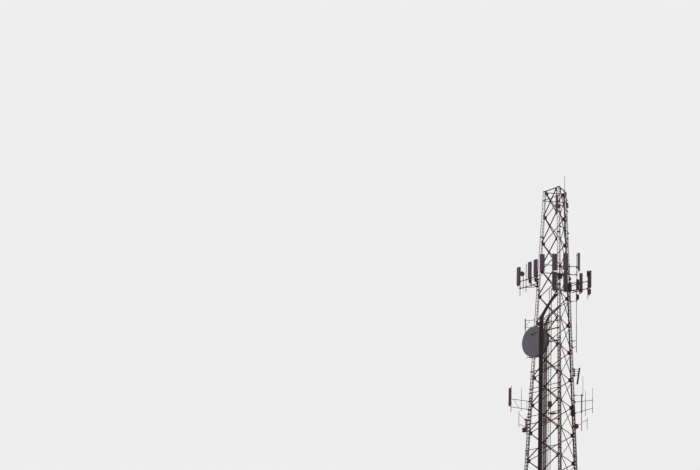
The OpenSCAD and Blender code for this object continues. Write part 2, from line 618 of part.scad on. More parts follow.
// Left arm: two bars out to an upright with a thick rod antenna, and a whip between.
left_zr = bay_h * 4.02;
left_o = [540, 1330, 2790];
module left_arm() on_site() color(shade) {
    a = leg_turn[2] + 60;
    flank_arm(2, 1, bay_h * 4.125, out_pt(2, a, left_zr, left_o[2], bay_h * 4.085), 60);
    flank_arm(2, 1, bay_h * 3.83, out_pt(2, a, left_zr, left_o[2], bay_h * 3.8), 60);
    bar(out_pt(2, a, left_zr, left_o[2] - 420, bay_h * 4.08), out_pt(2, a, left_zr, left_o[1] + 330,
        bay_h * 3.82), 44, 12);
    tube(out_pt(2, a, left_zr, left_o[0], bay_h * 3.81), bay_h * 4.13, 50);
    tube(out_pt(2, a, left_zr, left_o[1], bay_h * 3.72), bay_h * 4.24, 50);
    tube(out_pt(2, a, left_zr, left_o[2], bay_h * 3.61), bay_h * 4.56, mast_d);
}

module rod_antennas() on_site() color(pale) {
    a = leg_turn[2] + 60;
    d = 260;
    o = mast_d / 2 + 30 + d / 2;
    translate(out_pt(2, a, left_zr, left_o[2], bay_h * 3.82)) rotate(a + 90) {
        translate([0, -o, 0]) cylinder(d = d, h = bay_h * 0.645, $fn = 32);
        for (z = [bay_h * 0.1, bay_h * 0.36])
            difference() {
                translate([-55, -o, z]) cube([110, o + mast_d / 2 + 24, 70]);
                translate([0, 0, z - 1]) cylinder(d = mast_d + 0.4, h = 72, $fn = 24);
            }
    }
    zs = [bay_h * 6.87, bay_h * 7.13];
    for (z = zs) {
        clamp_corner(2, along(z), 130, 80, 130);
        bar(corner_pt(2, 50, along(z)), frame_pt(2, 0, zs[0], 1050, 0, 0, z), 50, 12);
    }
    tube(frame_pt(2, 0, zs[0], 1050, 0, 0, bay_h * 6.78), bay_h * 7.205, 120);
    bar(frame_pt(2, 0, zs[0], 1050, 0, 0, bay_h * 6.9), frame_pt(2, 0, zs[0], 500, 0, 0, bay_h * 7.13), 44, 12);
}

low_zr = bay_h * 3.3;
low_o = [470, 1490];
module low_left_arm() on_site() color(shade) {
    a = leg_turn[2] + 60;
    flank_arm(2, 1, bay_h * 3.17, out_pt(2, a, low_zr, low_o[1], bay_h * 3.25), 56);
    flank_arm(2, 1, bay_h * 3.45, out_pt(2, a, low_zr, low_o[0], bay_h * 3.45), 56);
    tube(out_pt(2, a, low_zr, low_o[0], bay_h * 2.93), bay_h * 3.5, mast_d);
    tube(out_pt(2, a, low_zr, low_o[1], bay_h * 3.13), bay_h * 3.71, 56);
    bar(out_pt(2, a, low_zr, low_o[1], bay_h * 3.61), out_pt(2, a, low_zr, low_o[0], bay_h * 3.41), 44, 12);
    flank_arm(2, 1, bay_h * 3.66, out_pt(2, a, low_zr, low_o[0], bay_h * 3.49), 44);
}

// Boxes: on the low left mast, on the climbing ladder, and behind the right leg.
module equipment_boxes() on_site() color(dark) {
    a = leg_turn[2] + 60;
    translate(out_pt(2, a, low_zr, low_o[0], bay_h * 3.07)) rotate(a + 90)
        on_mast(540, 260, 440, 40, 0);
    translate(left_pt(climb_s, climb_in + 30, bay_h * 3.93)) rotate(leg_turn[2] + 150)
        translate([-60, -200, -300]) cube([500, 200, 600]);
    for (z = [bay_h * 3.78, bay_h * 3.9])
        clamp_side(1, 1, along(z), leg_w + chord_d, clear_o, 90);
    clamp_side(1, 1, along(bay_h * 3.9), 470, 240, bay_h * 0.36, clear_o - 4);
}

// Drum-shaped antennas: one on the left frame, one on a stub from the right leg.
module drum(d, l) {
    cylinder(d = d * 0.5, h = l * 0.3, $fn = 32);
    translate([0, 0, l * 0.28]) cylinder(d = d, h = l * 0.72, $fn = 48);
}
module drum_antennas() on_site() color(dark) {
    translate(frame_pt(2, 60, left_z[0], left_out, left_x[1], -(pipe_d + mast_d) / 2 + 8, bay_h * 8.85))
        rotate(leg_turn[2] + 150) {
            difference() {
                translate([-70, -mast_d / 2 - 60, -60]) cube([140, mast_d + 84, 120]);
                translate([0, 0, -61]) cylinder(d = mast_d + 0.4, h = 122, $fn = 24);
            }
            translate([0, -mast_d / 2 - 50, 0]) rotate([90, 0, 24]) drum(540, 280);
        }
    z = bay_h * 3.295;
    clamp_side(1, -1, along(z), leg_w + chord_d, 90, 150);
    p = flank_pt(1, -1, 60, along(z));
    q = p + [-90, -240, 0];
    bar(p, q, 70, 12);
    translate(q + [0, 40, 0]) rotate([90, 0, 8]) drum(560, 300);
}

tray_gap = 58;
tray_d = 34;
module ladder_cables() on_site() color(dark)
    for (k = [-4:4]) {
        s = tray_s + k * tray_gap;
        o = climb_in + 5 - 17 - 0.3 - tray_d / 2;
        run([left_pt(s, o, 350), left_pt(s, o, bay_h * 6.95), left_pt(s + 130, 500, bay_h * 7.2),
            left_pt(-240 + k * 50, -900, bay_h * 7.66),
            inner_pt(1, -k * 38, 54 + tray_d / 2, along(bay_h * 7.85))], tray_d);
    }

// Cables from the top of the tower straight down the inner side of the right leg.
drop_d = 50;
module drop_cables() on_site() color(dark)
    for (k = [-1.5:1.5])
        bar(inner_pt(1, k * (drop_d + 6), drop_d / 2 + 0.3, 320),
            inner_pt(1, k * (drop_d + 6), drop_d / 2 + 0.3, leg_len - 140), drop_d);

module rest_platform() on_site() color(shade) {
    z = bay_h * 3.62;
    w = 1000;
    c = climb_s + 230;
    l = 620;
    o = climb_in - 20;
    for (s = [-1, 1])
        beam(left_pt(c + s * (w / 2 - 25), o, z), left_pt(c + s * (w / 2 - 25), o - l, z), [0, 0, 1])
            square(50, center = true);
    for (k = [0:7])
        beam(left_pt(c - w / 2, o - 25 - k * (l - 50) / 7, z), left_pt(c + w / 2, o - 25 - k * (l - 50) / 7, z),
            [0, 0, 1]) square([34, 40], center = true);
    for (s = [-1, 1])
        beam(left_pt(climb_s + s * (climb_w - rail_b) / 2, o, z - 520),
            left_pt(climb_s + s * (climb_w - rail_b) / 2, o - l + 60, z - 10), flat_dir(2))
            square(36, center = true);
}

base_plate_front();
base_plate_right();
base_plate_left();
leg_front_low();
leg_front_mid();
leg_front_top();
leg_right_low();
leg_right_mid();
leg_right_top();
leg_left_low();
leg_left_mid();
leg_left_top();
bracing_right();
bracing_back();
bracing_left();
top_frame();
lightning_mast();
frame_front();
frame_left();
frame_right();
panels_front();
panels_left();
panels_right();
dish();
dish_radome();
dish_mount();
cable_beams();
cable_ladder();
feeder_cables();
inner_ladders();
ladder_cables();
drop_cables();
top_antennas();
radios_front();
radios_side();
drum_antennas();
long_whip();
bracket_antenna();
right_arm();
whip_antennas();
left_arm();
rod_antennas();
low_left_arm();
equipment_boxes();
rest_platform();
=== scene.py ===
"""Looks for the lattice tower: finishes, fasteners, small fittings, stage and camera."""
import json
from math import atan, cos, pi, radians, sin, sqrt

import bmesh
import bpy
from bpy.props import FloatProperty, FloatVectorProperty, IntProperty, PointerProperty
from mathutils import Matrix, Vector


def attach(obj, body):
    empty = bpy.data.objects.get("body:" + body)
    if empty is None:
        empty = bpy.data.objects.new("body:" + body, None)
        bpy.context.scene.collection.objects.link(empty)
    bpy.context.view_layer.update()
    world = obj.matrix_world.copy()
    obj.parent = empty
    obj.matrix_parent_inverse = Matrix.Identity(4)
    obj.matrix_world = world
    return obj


bl_info = {
    "name": "Lattice Tower Dressing",
    "version": (1, 0, 0),
    "blender": (4, 5, 0),
    "location": "3D View > Sidebar > Lattice Tower",
    "description": "Finishes, fasteners and small fittings for a lattice tower, with its stage",
    "category": "Object",
}

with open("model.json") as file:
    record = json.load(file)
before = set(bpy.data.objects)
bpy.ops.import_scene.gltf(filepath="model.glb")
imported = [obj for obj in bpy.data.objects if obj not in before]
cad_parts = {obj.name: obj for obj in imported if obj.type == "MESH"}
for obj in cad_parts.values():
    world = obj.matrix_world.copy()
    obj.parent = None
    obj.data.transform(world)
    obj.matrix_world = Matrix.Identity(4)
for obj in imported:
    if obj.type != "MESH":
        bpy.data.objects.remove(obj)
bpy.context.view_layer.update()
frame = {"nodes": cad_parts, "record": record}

# Sizes of the solids that the fittings are set against, in metres.
BAY = 3.048
BAYS = 12
STEPS = 8
TOWER_H = BAY * BAYS
BASE_FACE = 5.95
TOP_FACE = 2.3
LEG_W = 0.33
CHORD_D = 0.056
LOW_GRADE = 1.34
GUSSET_T = 0.014
GUSSET_H = 0.44
BRACE_T = 0.008
BRACE_RISE = 0.1
BRACE_END = 0.15
BOLT_START = -0.02
BOLT_STEP = 0.055
JOINT_T = 0.022
JOINT_BOLT_OUT = 0.08
JOINT_BOLT_TURN = 0.52
BASE_T = 0.05
ANCHOR_PCD = 0.66
PIPE_D = 0.076
MAST_D = 0.07
PANEL = (0.54, 0.2, 1.9)
RADIO = (0.34, 0.2, 0.56)
FEEDER_D = 0.048
TRAY_D = 0.034
DROP_D = 0.05
DISH_D = 3.35
HUB_L = 0.11
BOWL_L = 0.38
SHROUD_L = 0.56
RADOME_L = 0.066
MOUNT_D = 0.168
JOINT_EDGE = 0.062
CLIMB_S = 0.08
CLIMB_IN = 0.8
LADDER_S = 0.935
LADDER_OUT = 2.77
LADDER_FOOT = 0.3 * BAY
TRAY_S = -0.64
CLIP_STEP = 0.762
STRAP_GAPS = 45
LEG_TURN = [radians(-90), radians(30), radians(150)]
BASE_R = BASE_FACE / sqrt(3)
TOP_R = TOP_FACE / sqrt(3)
TILT = atan((BASE_R - TOP_R) / TOWER_H)
FACE_TILT = atan((BASE_R - TOP_R) / 2 / TOWER_H)
LEG_LEN = TOWER_H / cos(TILT)
PITCH = LEG_LEN / (BAYS * STEPS)
LEG_R = LEG_W / sqrt(3)
CHORD_F = CHORD_D * LOW_GRADE / 2 * cos(radians(30))
GUSSET_IN = CHORD_D / 2 * cos(radians(30)) - 0.002
GUSSET_OUT = GUSSET_IN + GUSSET_T
BRACE_A = 0.088
CLEAR_O = GUSSET_OUT + BRACE_A + 0.008
UP = Vector((0, 0, 1))
INWARD = Matrix.Rotation(radians(-90), 4, "X")

# Heights in bays between which skins change: primer to paint, and the painted shade of the lower
# panels to their lit tone above.
PRIMER_EDGE = (3.45, 3.55)
SHADE_EDGE = (8.5, 8.62)
# Mast low on the left: leg, turn, reference height in bays, distance from the leg.
LOW_MAST = (2, 210, 3.3, 0.47)

# Material slots of the record that the scene's own pieces use.
STEEL = "galvanised_steel"
CASING = "unit_casing"
JACKET = "cable_jacket"

# Upright whips: leg, turn, reference height in bays, distance from the leg, lower and upper
# ends in bays, diameter.
WHIPS = (
    (1, -30, 8, 0.85, 5.98, 7.0, 0.076), (1, -30, 8, 0.85, 7.0, 8.29, 0.06),
    (1, -30, 4.1, 1.085, 4.5, 5.14, 0.044), (1, -30, 4.1, 1.385, 4.3, 4.6, 0.04),
    (1, -30, 4.1, 2.175, 4.3, 4.68, 0.04), (2, 210, 4.02, 1.33, 4.24, 4.546, 0.04),
)
# Middle of the arms of a sector frame along it, and half the length of its pipes.
ARMS = {"front": (-0.14, 2.08), "left": (-0.42, 1.72), "right": (-0.82, 1.54)}
# Front frame: height in bays of its foot bar, and where along it the jumpers turn to the leg.
FOOT_BAR = 7.92
TURN_BACK = -0.1
# Height in bays up to which the legs carry cross bars, and the width of the bars.
CROSSED = ((6.2, 0.052), (4.2, 0.032), (5.2, 0.032))
# Sector frames: leg, turn, heights of the two pipes in bays, distance from the leg.
SECTORS = {
    "front": (0, 0, (8.56, 8.86), 0.62),
    "left": (2, 60, (8.36, 8.63), 0.9),
    "right": (1, 0, (8.33, 8.6), 0.9),
}
# Place of a mast along its frame, then its lower and upper ends in bays.
MASTS = {
    "front": ((-2.06, 8.45, 9.22), (-0.723, 7.86, 9.27), (0.5, 7.86, 9.31),
              (1.79, 7.98, 9.36), (-0.13, 8.34, 8.93), (0.98, 7.86, 8.92)),
    "left": ((-1.79, 8.07, 9.14), (-1.265, 8.28, 8.95), (-0.78, 8.15, 9.21),
             (0.08, 8.26, 9.18), (1.038, 8.27, 9.22)),
    "right": ((0.05, 7.95, 8.72), (-0.5, 8.2, 9.02), (-1.83, 7.93, 9.02)),
}
# Frame, place along it, height in bays, share of the usual width, depth and height, gap, turn.
PANELS = (
    ("front", -2.06, 8.897, 1, 1, 1, 0.09, -8), ("front", -0.723, 8.96, 1, 1, 0.94, 0.09, 0),
    ("front", 0.5, 9, 1, 1, 0.94, 0.09, 0), ("front", 1.79, 9.04, 0.8, 1, 1, 0.09, 66),
    ("front", -0.723, 8.254, 0.95, 1, 1.03, 0.09, 0),
    ("front", 0.5, 8.26, 0.86, 1, 1.13, 0.09, 0),
    ("left", -1.79, 8.8, 1, 1, 1.07, 0.09, -5), ("left", 0.08, 8.892, 0.9, 1, 1, 0.09, 0),
    ("left", 1.038, 8.925, 0.95, 1, 0.98, 0.09, 5),
    ("right", -0.5, 8.65, 0.62, 1, 1.12, 0.09, 0),
    ("right", -1.83, 8.68, 1.05, 1, 1, 0.09, -20),
)
RADIOS = (
    ("front", -0.723, 8.12, 1, 1, 1, 0.04, 180), ("front", -0.723, 8.36, 1, 1, 1, 0.04, 180),
    ("front", 0.5, 8.12, 1, 1, 1, 0.04, 180), ("front", 0.5, 8.36, 1, 1, 1, 0.04, 180),
    ("front", -0.13, 8.46, 1.6, 1, 1, 0.04, 0), ("front", 0.98, 8.06, 1.2, 1, 1.7, 0.04, 0),
    ("front", 0.98, 8.38, 0.8, 0.8, 0.5, 0.04, 0),
    ("front", 1.79, 8.18, 0.85, 1, 2, 0.06, 20),
    ("front", -2.06, 8.78, 1, 1, 0.6, 0.04, 180),
    ("left", 0.08, 8.49, 0.9, 0.8, 0.7, 0.04, 0), ("left", 1.038, 8.49, 0.9, 0.8, 0.7, 0.04, 0),
    ("right", -1.83, 8.21, 1.15, 1, 1, 0.06, -20), ("right", 0.05, 8.14, 0.9, 1, 1, 0.05, 0),
    ("right", -1.83, 8.87, 0.76, 0.8, 1.07, 0.04, -130),
)


def face_at(z):
    return TOP_FACE + (BASE_FACE - TOP_FACE) * (TOWER_H - z) / TOWER_H


def leg_at(i, z):
    r = face_at(z) / sqrt(3)
    return Vector((r * cos(LEG_TURN[i]), r * sin(LEG_TURN[i]) + BASE_R, z))


def foot_frame(i, lift=0.0):
    """Upright frame at the foot of a leg, -y outward from the tower."""
    return (Matrix.Translation(leg_at(i, 0) + UP * lift)
            @ Matrix.Rotation(LEG_TURN[i] + pi / 2, 4, "Z"))


def leg_frame(i):
    """Frame of a leg: z along it, -y outward from the tower."""
    return foot_frame(i) @ Matrix.Rotation(-TILT, 4, "X")


def side_pt(i, s, e, o, t):
    """Point beside the chord that faces the next leg (s = 1) or the one before (s = -1)."""
    c = cos(radians(30))
    local = Vector((s * (LEG_W / 2 + e / 2 + o * c), LEG_R / 2 + e * c - o / 2, t))
    return leg_frame(i % 3) @ local


def side_dir(j):
    a = LEG_TURN[j] + radians(60)
    return Vector((cos(a) * cos(FACE_TILT), sin(a) * cos(FACE_TILT), sin(FACE_TILT)))


def level(k):
    if k == 0:
        return GUSSET_H / 2 + 0.11
    if k == BAYS:
        return LEG_LEN - GUSSET_H / 2 - 0.03
    return k * STEPS * PITCH


def aim(point, normal, across=None):
    """Matrix that puts a shape's z on the normal and its origin at the point."""
    z = normal.normalized()
    x = (across or (UP if abs(z.z) < 0.9 else Vector((1, 0, 0)))).copy()
    x = (x - z * x.dot(z)).normalized()
    y = z.cross(x)
    rot = Matrix((x, y, z)).transposed().to_4x4()
    return Matrix.Translation(point) @ rot


def mast_frame(sector, x, bays, yaw=0):
    """Frame of a mast on a sector frame: z up, -y away from the tower."""
    i, turn, pipes, out = SECTORS[sector]
    ref_z = pipes[0] * BAY
    rot = Matrix.Rotation(LEG_TURN[i] + pi / 2 + radians(turn), 4, "Z")
    local = Vector((x, -(PIPE_D + MAST_D) / 2 + 0.008 - out - LEG_R, bays * BAY - ref_z))
    place = Matrix.Translation(leg_at(i, ref_z)) @ rot @ Matrix.Translation(local)
    return place @ Matrix.Rotation(radians(yaw), 4, "Z")


def out_at(i, turn, ref_bays, o, bays):
    """Frame upright at a distance from the leg, -y outward, z up."""
    a = radians(turn)
    base = leg_at(i, ref_bays * BAY) + Vector((cos(a), sin(a), 0)) * o
    base.z = bays * BAY
    return Matrix.Translation(base) @ Matrix.Rotation(a + pi / 2, 4, "Z")


def chord_pt(k, t):
    turn = radians(k * 120 - 90)
    return Vector((LEG_R * cos(turn), LEG_R * sin(turn), t))


def unit_frame(unit, usual):
    """Frame at the middle of a unit's outer face, -y outward, and the unit's three sizes."""
    sector, x, bays, w, d, h, gap, yaw = unit
    size = (usual[0] * w, usual[1] * d, usual[2] * h)
    front = Matrix.Translation((0, -MAST_D / 2 - gap - size[1], 0))
    return mast_frame(sector, x, bays, yaw) @ front, size


def left_pt(s, o, z):
    """Spot on the left side: s along it toward the front leg, o outward from the axis."""
    a = LEG_TURN[2]
    out = Vector((cos(a + radians(60)), sin(a + radians(60)), 0))
    run = Vector((cos(a + radians(150)), sin(a + radians(150)), 0))
    return out * o + run * s + Vector((0, BASE_R, z))


def left_frame(s, o, z):
    """Frame on the left side: x along it, -y outward, z up."""
    turn = Matrix.Rotation(LEG_TURN[2] + radians(150), 4, "Z")
    return Matrix.Translation(left_pt(s, o, z)) @ turn


def dish_frame():
    """Frame of the dish: z along its axis, y up, origin on the mounting pole's front."""
    z = 6.14 * BAY
    side = face_at(z) / (2 * sqrt(3))
    mount = side + LEG_R / 2 + CLEAR_O + 0.1 + MOUNT_D / 2 + 0.006
    a = LEG_TURN[2] + radians(67)
    axis = Vector((cos(a), sin(a), 0))
    back = left_pt(-0.527, mount, 6.15 * BAY)
    x = UP.cross(axis)
    rot = Matrix((x, UP, axis)).transposed().to_4x4()
    return Matrix.Translation(back + axis * (MOUNT_D / 2 + 0.0002)) @ rot


def new_shape(name, bm, angle=35):
    """Mesh of a finished bmesh, smooth up to the angle."""
    mesh = bpy.data.meshes.new(name)
    bmesh.ops.recalc_face_normals(bm, faces=bm.faces)
    bm.to_mesh(mesh)
    bm.free()
    mesh.shade_smooth()
    mesh.set_sharp_from_angle(angle=radians(angle))
    return mesh


def repeat(name, shape, places, slot):
    """One piece made of copies of a shape, riding on the tower."""
    bm = bmesh.new()
    for place in places:
        copy = shape.copy()
        copy.transform(place)
        bm.from_mesh(copy)
        bpy.data.meshes.remove(copy)
    if not bm.faces:
        raise RuntimeError(f"{name} has no faces")
    mesh = bpy.data.meshes.new(name)
    bm.to_mesh(mesh)
    bm.free()
    bpy.data.meshes.remove(shape)
    add_piece(name, mesh, slot)


def add_object(name, data):
    made = bpy.data.objects.new(name, data)
    bpy.context.scene.collection.objects.link(made)
    return made


def add_piece(name, shape, slot, finish=None):
    """Piece that rides on the tower, in its slot's finish or a variant of that."""
    mesh = new_shape(name, shape) if isinstance(shape, bmesh.types.BMesh) else shape
    piece = add_object(name, mesh)
    mesh.materials.clear()
    mesh.materials.append(finish_for(finish or slot))
    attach(piece, "root")


def add_hoses(name, routes, radius, slot):
    """Round cables along smooth routes, as one piece."""
    curve = bpy.data.curves.new(name, "CURVE")
    curve.dimensions = "3D"
    curve.bevel_depth = radius
    curve.bevel_resolution = 1
    curve.resolution_u = 4
    curve.use_fill_caps = True
    for route in routes:
        line = curve.splines.new("NURBS")
        line.points.add(len(route) - 1)
        for point, place in zip(line.points, route):
            point.co = (*place, 1)
        line.order_u = 3
        line.use_endpoint_u = True
    holder = bpy.data.objects.new(name, curve)
    mesh = bpy.data.meshes.new_from_object(holder)
    bpy.data.objects.remove(holder)
    bpy.data.curves.remove(curve)
    mesh.name = name
    mesh.shade_smooth()
    add_piece(name, mesh, slot)


def add_prism(bm, sides, radius, z0, z1, top_radius=None, place=None):
    """Straight or tapered prism between two heights."""
    where = Matrix.Translation((0, 0, (z0 + z1) / 2))
    if place is not None:
        where = place @ where
    bmesh.ops.create_cone(bm, cap_ends=True, segments=sides, radius1=radius,
                          radius2=radius if top_radius is None else top_radius,
                          depth=z1 - z0, matrix=where)


def add_block(bm, size, centre, place=None):
    where = Matrix.Translation(centre) @ Matrix.Diagonal((*size, 1))
    if place is not None:
        where = place @ where
    return bmesh.ops.create_cube(bm, size=1, matrix=where)["verts"]


def add_plate(bm, outline, thickness=0.012):
    """Flat plate in the x-z plane, raised from its outline."""
    plate = bm.faces.new([bm.verts.new((x, -thickness / 2, z)) for x, z in outline])
    raised = bmesh.ops.extrude_face_region(bm, geom=[plate])
    verts = [v for v in raised["geom"] if isinstance(v, bmesh.types.BMVert)]
    bmesh.ops.translate(bm, vec=(0, thickness, 0), verts=verts)


def add_soft_block(bm, size, centre, place, offset):
    """Block with rounded edges."""
    block = add_block(bm, size, centre, place)
    edges = list({e for v in block for e in v.link_edges})
    bmesh.ops.bevel(bm, geom=edges, offset=offset, segments=2, affect="EDGES", profile=0.5,
                    material=-1)


def block_shape(name, blocks):
    """Shape made of blocks: size and centre of each."""
    bm = bmesh.new()
    for size, centre in blocks:
        add_block(bm, size, centre)
    return new_shape(name, bm)


def prism_shape(name, prisms):
    """Shape made of prisms: sides, radius, lower and upper end, upper radius of each."""
    bm = bmesh.new()
    for prism in prisms:
        add_prism(bm, *prism)
    return new_shape(name, bm, 30)


def bolt_shape(across, grip):
    """Bolt through its grip: hex head, washers, nut and thread end."""
    return prism_shape("bolt", [
        (10, across * 0.62, -0.001, across * 0.12),
        (6, across * 0.56, across * 0.1, across * 0.62, across * 0.52),
        (10, across * 0.62, -grip - across * 0.12, -grip + 0.001),
        (6, across * 0.56, -grip - across * 0.75, -grip - across * 0.1),
        (8, across * 0.3, -grip - across * 1.1, -grip - across * 0.7)])


def new_finish(name):
    finish = bpy.data.materials.new(name)
    finish.use_nodes = True
    tree = finish.node_tree
    shader = tree.nodes["Principled BSDF"]
    return finish, tree, shader


def feed(tree, node, values):
    """Set or link inputs of a node by their names or numbers."""
    for key, value in values.items():
        if isinstance(value, bpy.types.NodeSocket):
            tree.links.new(value, node.inputs[key])
        else:
            node.inputs[key].default_value = value


def add_node(tree, kind, values=None, **options):
    node = tree.nodes.new("ShaderNode" + kind)
    for key, value in options.items():
        setattr(node, key, value)
    feed(tree, node, values or {})
    return node


def add_place(tree):
    return add_node(tree, "TexCoord").outputs["Object"]


def add_noise(tree, scale, stretch=(1, 1, 1), detail=4.0, roughness=0.55):
    mapping = add_node(tree, "Mapping", {"Vector": add_place(tree), "Scale": stretch})
    noise = add_node(tree, "TexNoise", {"Vector": mapping.outputs["Vector"], "Scale": scale,
                                        "Detail": detail, "Roughness": roughness})
    return noise.outputs["Fac"]


def add_range(tree, value, low, high, to_low=0.0, to_high=1.0):
    node = add_node(tree, "MapRange", {"Value": value, "From Min": low, "From Max": high,
                                       "To Min": to_low, "To Max": to_high},
                    interpolation_type="SMOOTHSTEP")
    return node.outputs["Result"]


def add_mix(tree, factor, first, second):
    """Mix of two colours, each a colour or a socket."""
    ends = [v if isinstance(v, bpy.types.NodeSocket) else (*v[:3], 1) for v in (first, second)]
    node = add_node(tree, "Mix", data_type="RGBA")
    feed(tree, node, {"Factor": factor, "A": ends[0], "B": ends[1]})
    return node.outputs["Result"]


def add_edge(tree, edge):
    """From 0 below a soft edge to 1 above it, the edge given in bays."""
    height = add_node(tree, "SeparateXYZ", {"Vector": add_place(tree)}).outputs["Z"]
    return add_range(tree, height, edge[0] * BAY, edge[1] * BAY)


def add_grain(tree, scale, depth, strength=0.2, detail=2.0):
    """Fine relief of a skin."""
    bump = add_node(tree, "Bump", {"Height": add_noise(tree, scale, detail=detail),
                                   "Strength": strength, "Distance": depth})
    return bump.outputs["Normal"]


def add_weather(tree, haze=1.4, runs=9.0, squash=0.08):
    """Soft haze, and runs that rain has left down the surface."""
    return (add_range(tree, add_noise(tree, haze), 0.35, 0.7),
            add_range(tree, add_noise(tree, runs, (1, 1, squash)), 0.5, 0.78))


def scaled(colour, factor):
    return tuple(min(1.0, c * factor) for c in colour[:3])


def add_shades(tree, factor, colour, first, second):
    """Mix of two shades of a colour."""
    return add_mix(tree, factor, scaled(colour, first), scaled(colour, second))


def make_steel(colour, rust, rust_share):
    """Dull zinc: mottled grey, darker runs down the bars, rust in patches."""
    finish, tree, shader = new_finish("weathered_zinc")
    mottle = add_range(tree, add_noise(tree, 2.6), 0.3, 0.72)
    runs = add_range(tree, add_noise(tree, 5.0, (1, 1, 0.12)), 0.45, 0.7)
    spots = add_range(tree, add_noise(tree, 1.7, (1, 1, 0.6), 6.0, 0.7), 0.66 - rust_share, 0.74)
    tone = add_shades(tree, mottle, colour, 0.82, 1.15)
    tone = add_mix(tree, runs, tone, scaled(colour, 0.66))
    tone = add_mix(tree, spots, tone, rust)
    feed(tree, shader, {
        "Base Color": tone, "Roughness": add_range(tree, mottle, 0, 1, 0.52, 0.7),
        "Metallic": 0.25, "Specular IOR Level": 0.3,
        "Normal": add_grain(tree, 60.0, 0.0015, 0.25, 4.0)})
    return finish


def make_casing(name, colour, dirt, roughness, low=None):
    """Moulded or painted skin with rain streaks, in another colour on the low units."""
    finish, tree, shader = new_finish(name)
    haze, runs = add_weather(tree)
    tone = add_shades(tree, haze, colour, 0.93, 1.07)
    tone = add_mix(tree, runs, tone, dirt)
    if low:
        worn = add_mix(tree, runs, low, scaled(low, 0.75))
        tone = add_mix(tree, add_edge(tree, PRIMER_EDGE), worn, tone)
    feed(tree, shader, {
        "Base Color": tone, "Roughness": roughness, "Specular IOR Level": 0.25,
        "Normal": add_grain(tree, 180.0, 0.0004)})
    return finish


def make_panel_skin(colour):
    """Antenna skin: hazy, streaked by rain, with painted shade darkening the lower row."""
    finish, tree, shader = new_finish("panel_skin")
    haze, runs = add_weather(tree)
    grime = add_range(tree, add_noise(tree, 4.0, (1, 1, 0.5), 6.0, 0.65), 0.5, 0.8)
    lit_tone = add_shades(tree, haze, colour, 0.94, 1.08)
    # Painted shade: below the edge the lower row of panels takes a darker, mottled copy of the
    # skin.
    shaded_tone = add_shades(tree, grime, colour, 0.6, 0.36)
    tone = add_mix(tree, add_edge(tree, SHADE_EDGE), shaded_tone, lit_tone)
    tone = add_mix(tree, runs, tone, scaled(colour, 0.7))
    feed(tree, shader, {
        "Base Color": tone, "Roughness": add_range(tree, grime, 0, 1, 0.48, 0.66),
        "Specular IOR Level": 0.25, "Coat Weight": 0.05,
        "Normal": add_grain(tree, 180.0, 0.0004)})
    return finish


def make_dish_paint(colour, cloth):
    """Paint of the bowl, dark as painted shade, with a pale band in the cloth's colour over the
    front of the shroud as painted sky light.
    """
    finish, tree, shader = new_finish("dish_paint")
    place = dish_frame()
    axis = place.to_3x3() @ Vector((0, 0, 1))
    along = add_node(tree, "VectorMath", operation="DOT_PRODUCT")
    feed(tree, along, {0: add_place(tree), 1: axis})
    # Painted light and shade: the front part of the shroud takes a pale tone, as if lit by the
    # sky, and the part behind it keeps the dark paint as its shade.
    edge = axis.dot(place.translation) + HUB_L + BOWL_L + SHROUD_L * 0.42
    lit_front_band = add_range(tree, along.outputs["Value"], edge - 0.006, edge + 0.006)
    haze, runs = add_weather(tree, 1.6, 7.0, 0.1)
    paint = add_shades(tree, haze, colour, 0.85, 1.15)
    paint = add_mix(tree, runs, paint, scaled(colour, 0.7))
    lit_front_tone = add_shades(tree, runs, cloth, 0.95, 0.72)
    feed(tree, shader, {
        "Base Color": add_mix(tree, lit_front_band, paint, lit_front_tone), "Roughness": 0.6,
        "Specular IOR Level": 0.25,
        "Normal": add_grain(tree, 160.0, 0.0005)})
    return finish


def make_cloth(colour):
    """Taut coated cloth with a fine weave and faint stains."""
    finish, tree, shader = new_finish("radome_cloth")
    stain = add_range(tree, add_noise(tree, 1.1, detail=5.0), 0.42, 0.75)
    runs = add_range(tree, add_noise(tree, 4.0, (1, 1, 0.1)), 0.5, 0.8)
    tone = add_shades(tree, stain, colour, 1.04, 0.9)
    tone = add_mix(tree, runs, tone, scaled(colour, 0.8))
    feed(tree, shader, {
        "Base Color": tone, "Roughness": 0.8, "Sheen Weight": 0.1,
        "Normal": add_grain(tree, 420.0, 0.0006, 0.4, 1.0)})
    return finish


def make_jacket(name, colour):
    """Dark cable jacket with dust in patches."""
    finish, tree, shader = new_finish(name)
    dust = add_range(tree, add_noise(tree, 3.0), 0.45, 0.75)
    feed(tree, shader, {"Base Color": add_mix(tree, dust, colour, scaled(colour, 2.2)),
                        "Roughness": 0.6, "Specular IOR Level": 0.25})
    return finish


FINISHES = {}
# Nodes that wear a variant of their slot's finish.
VARIANTS = {"equipment_boxes": "box_casing", "ladder_cables": "dusty_jacket",
            "rod_antennas": "whip_tube", "drum_antennas": "drum_casing"}


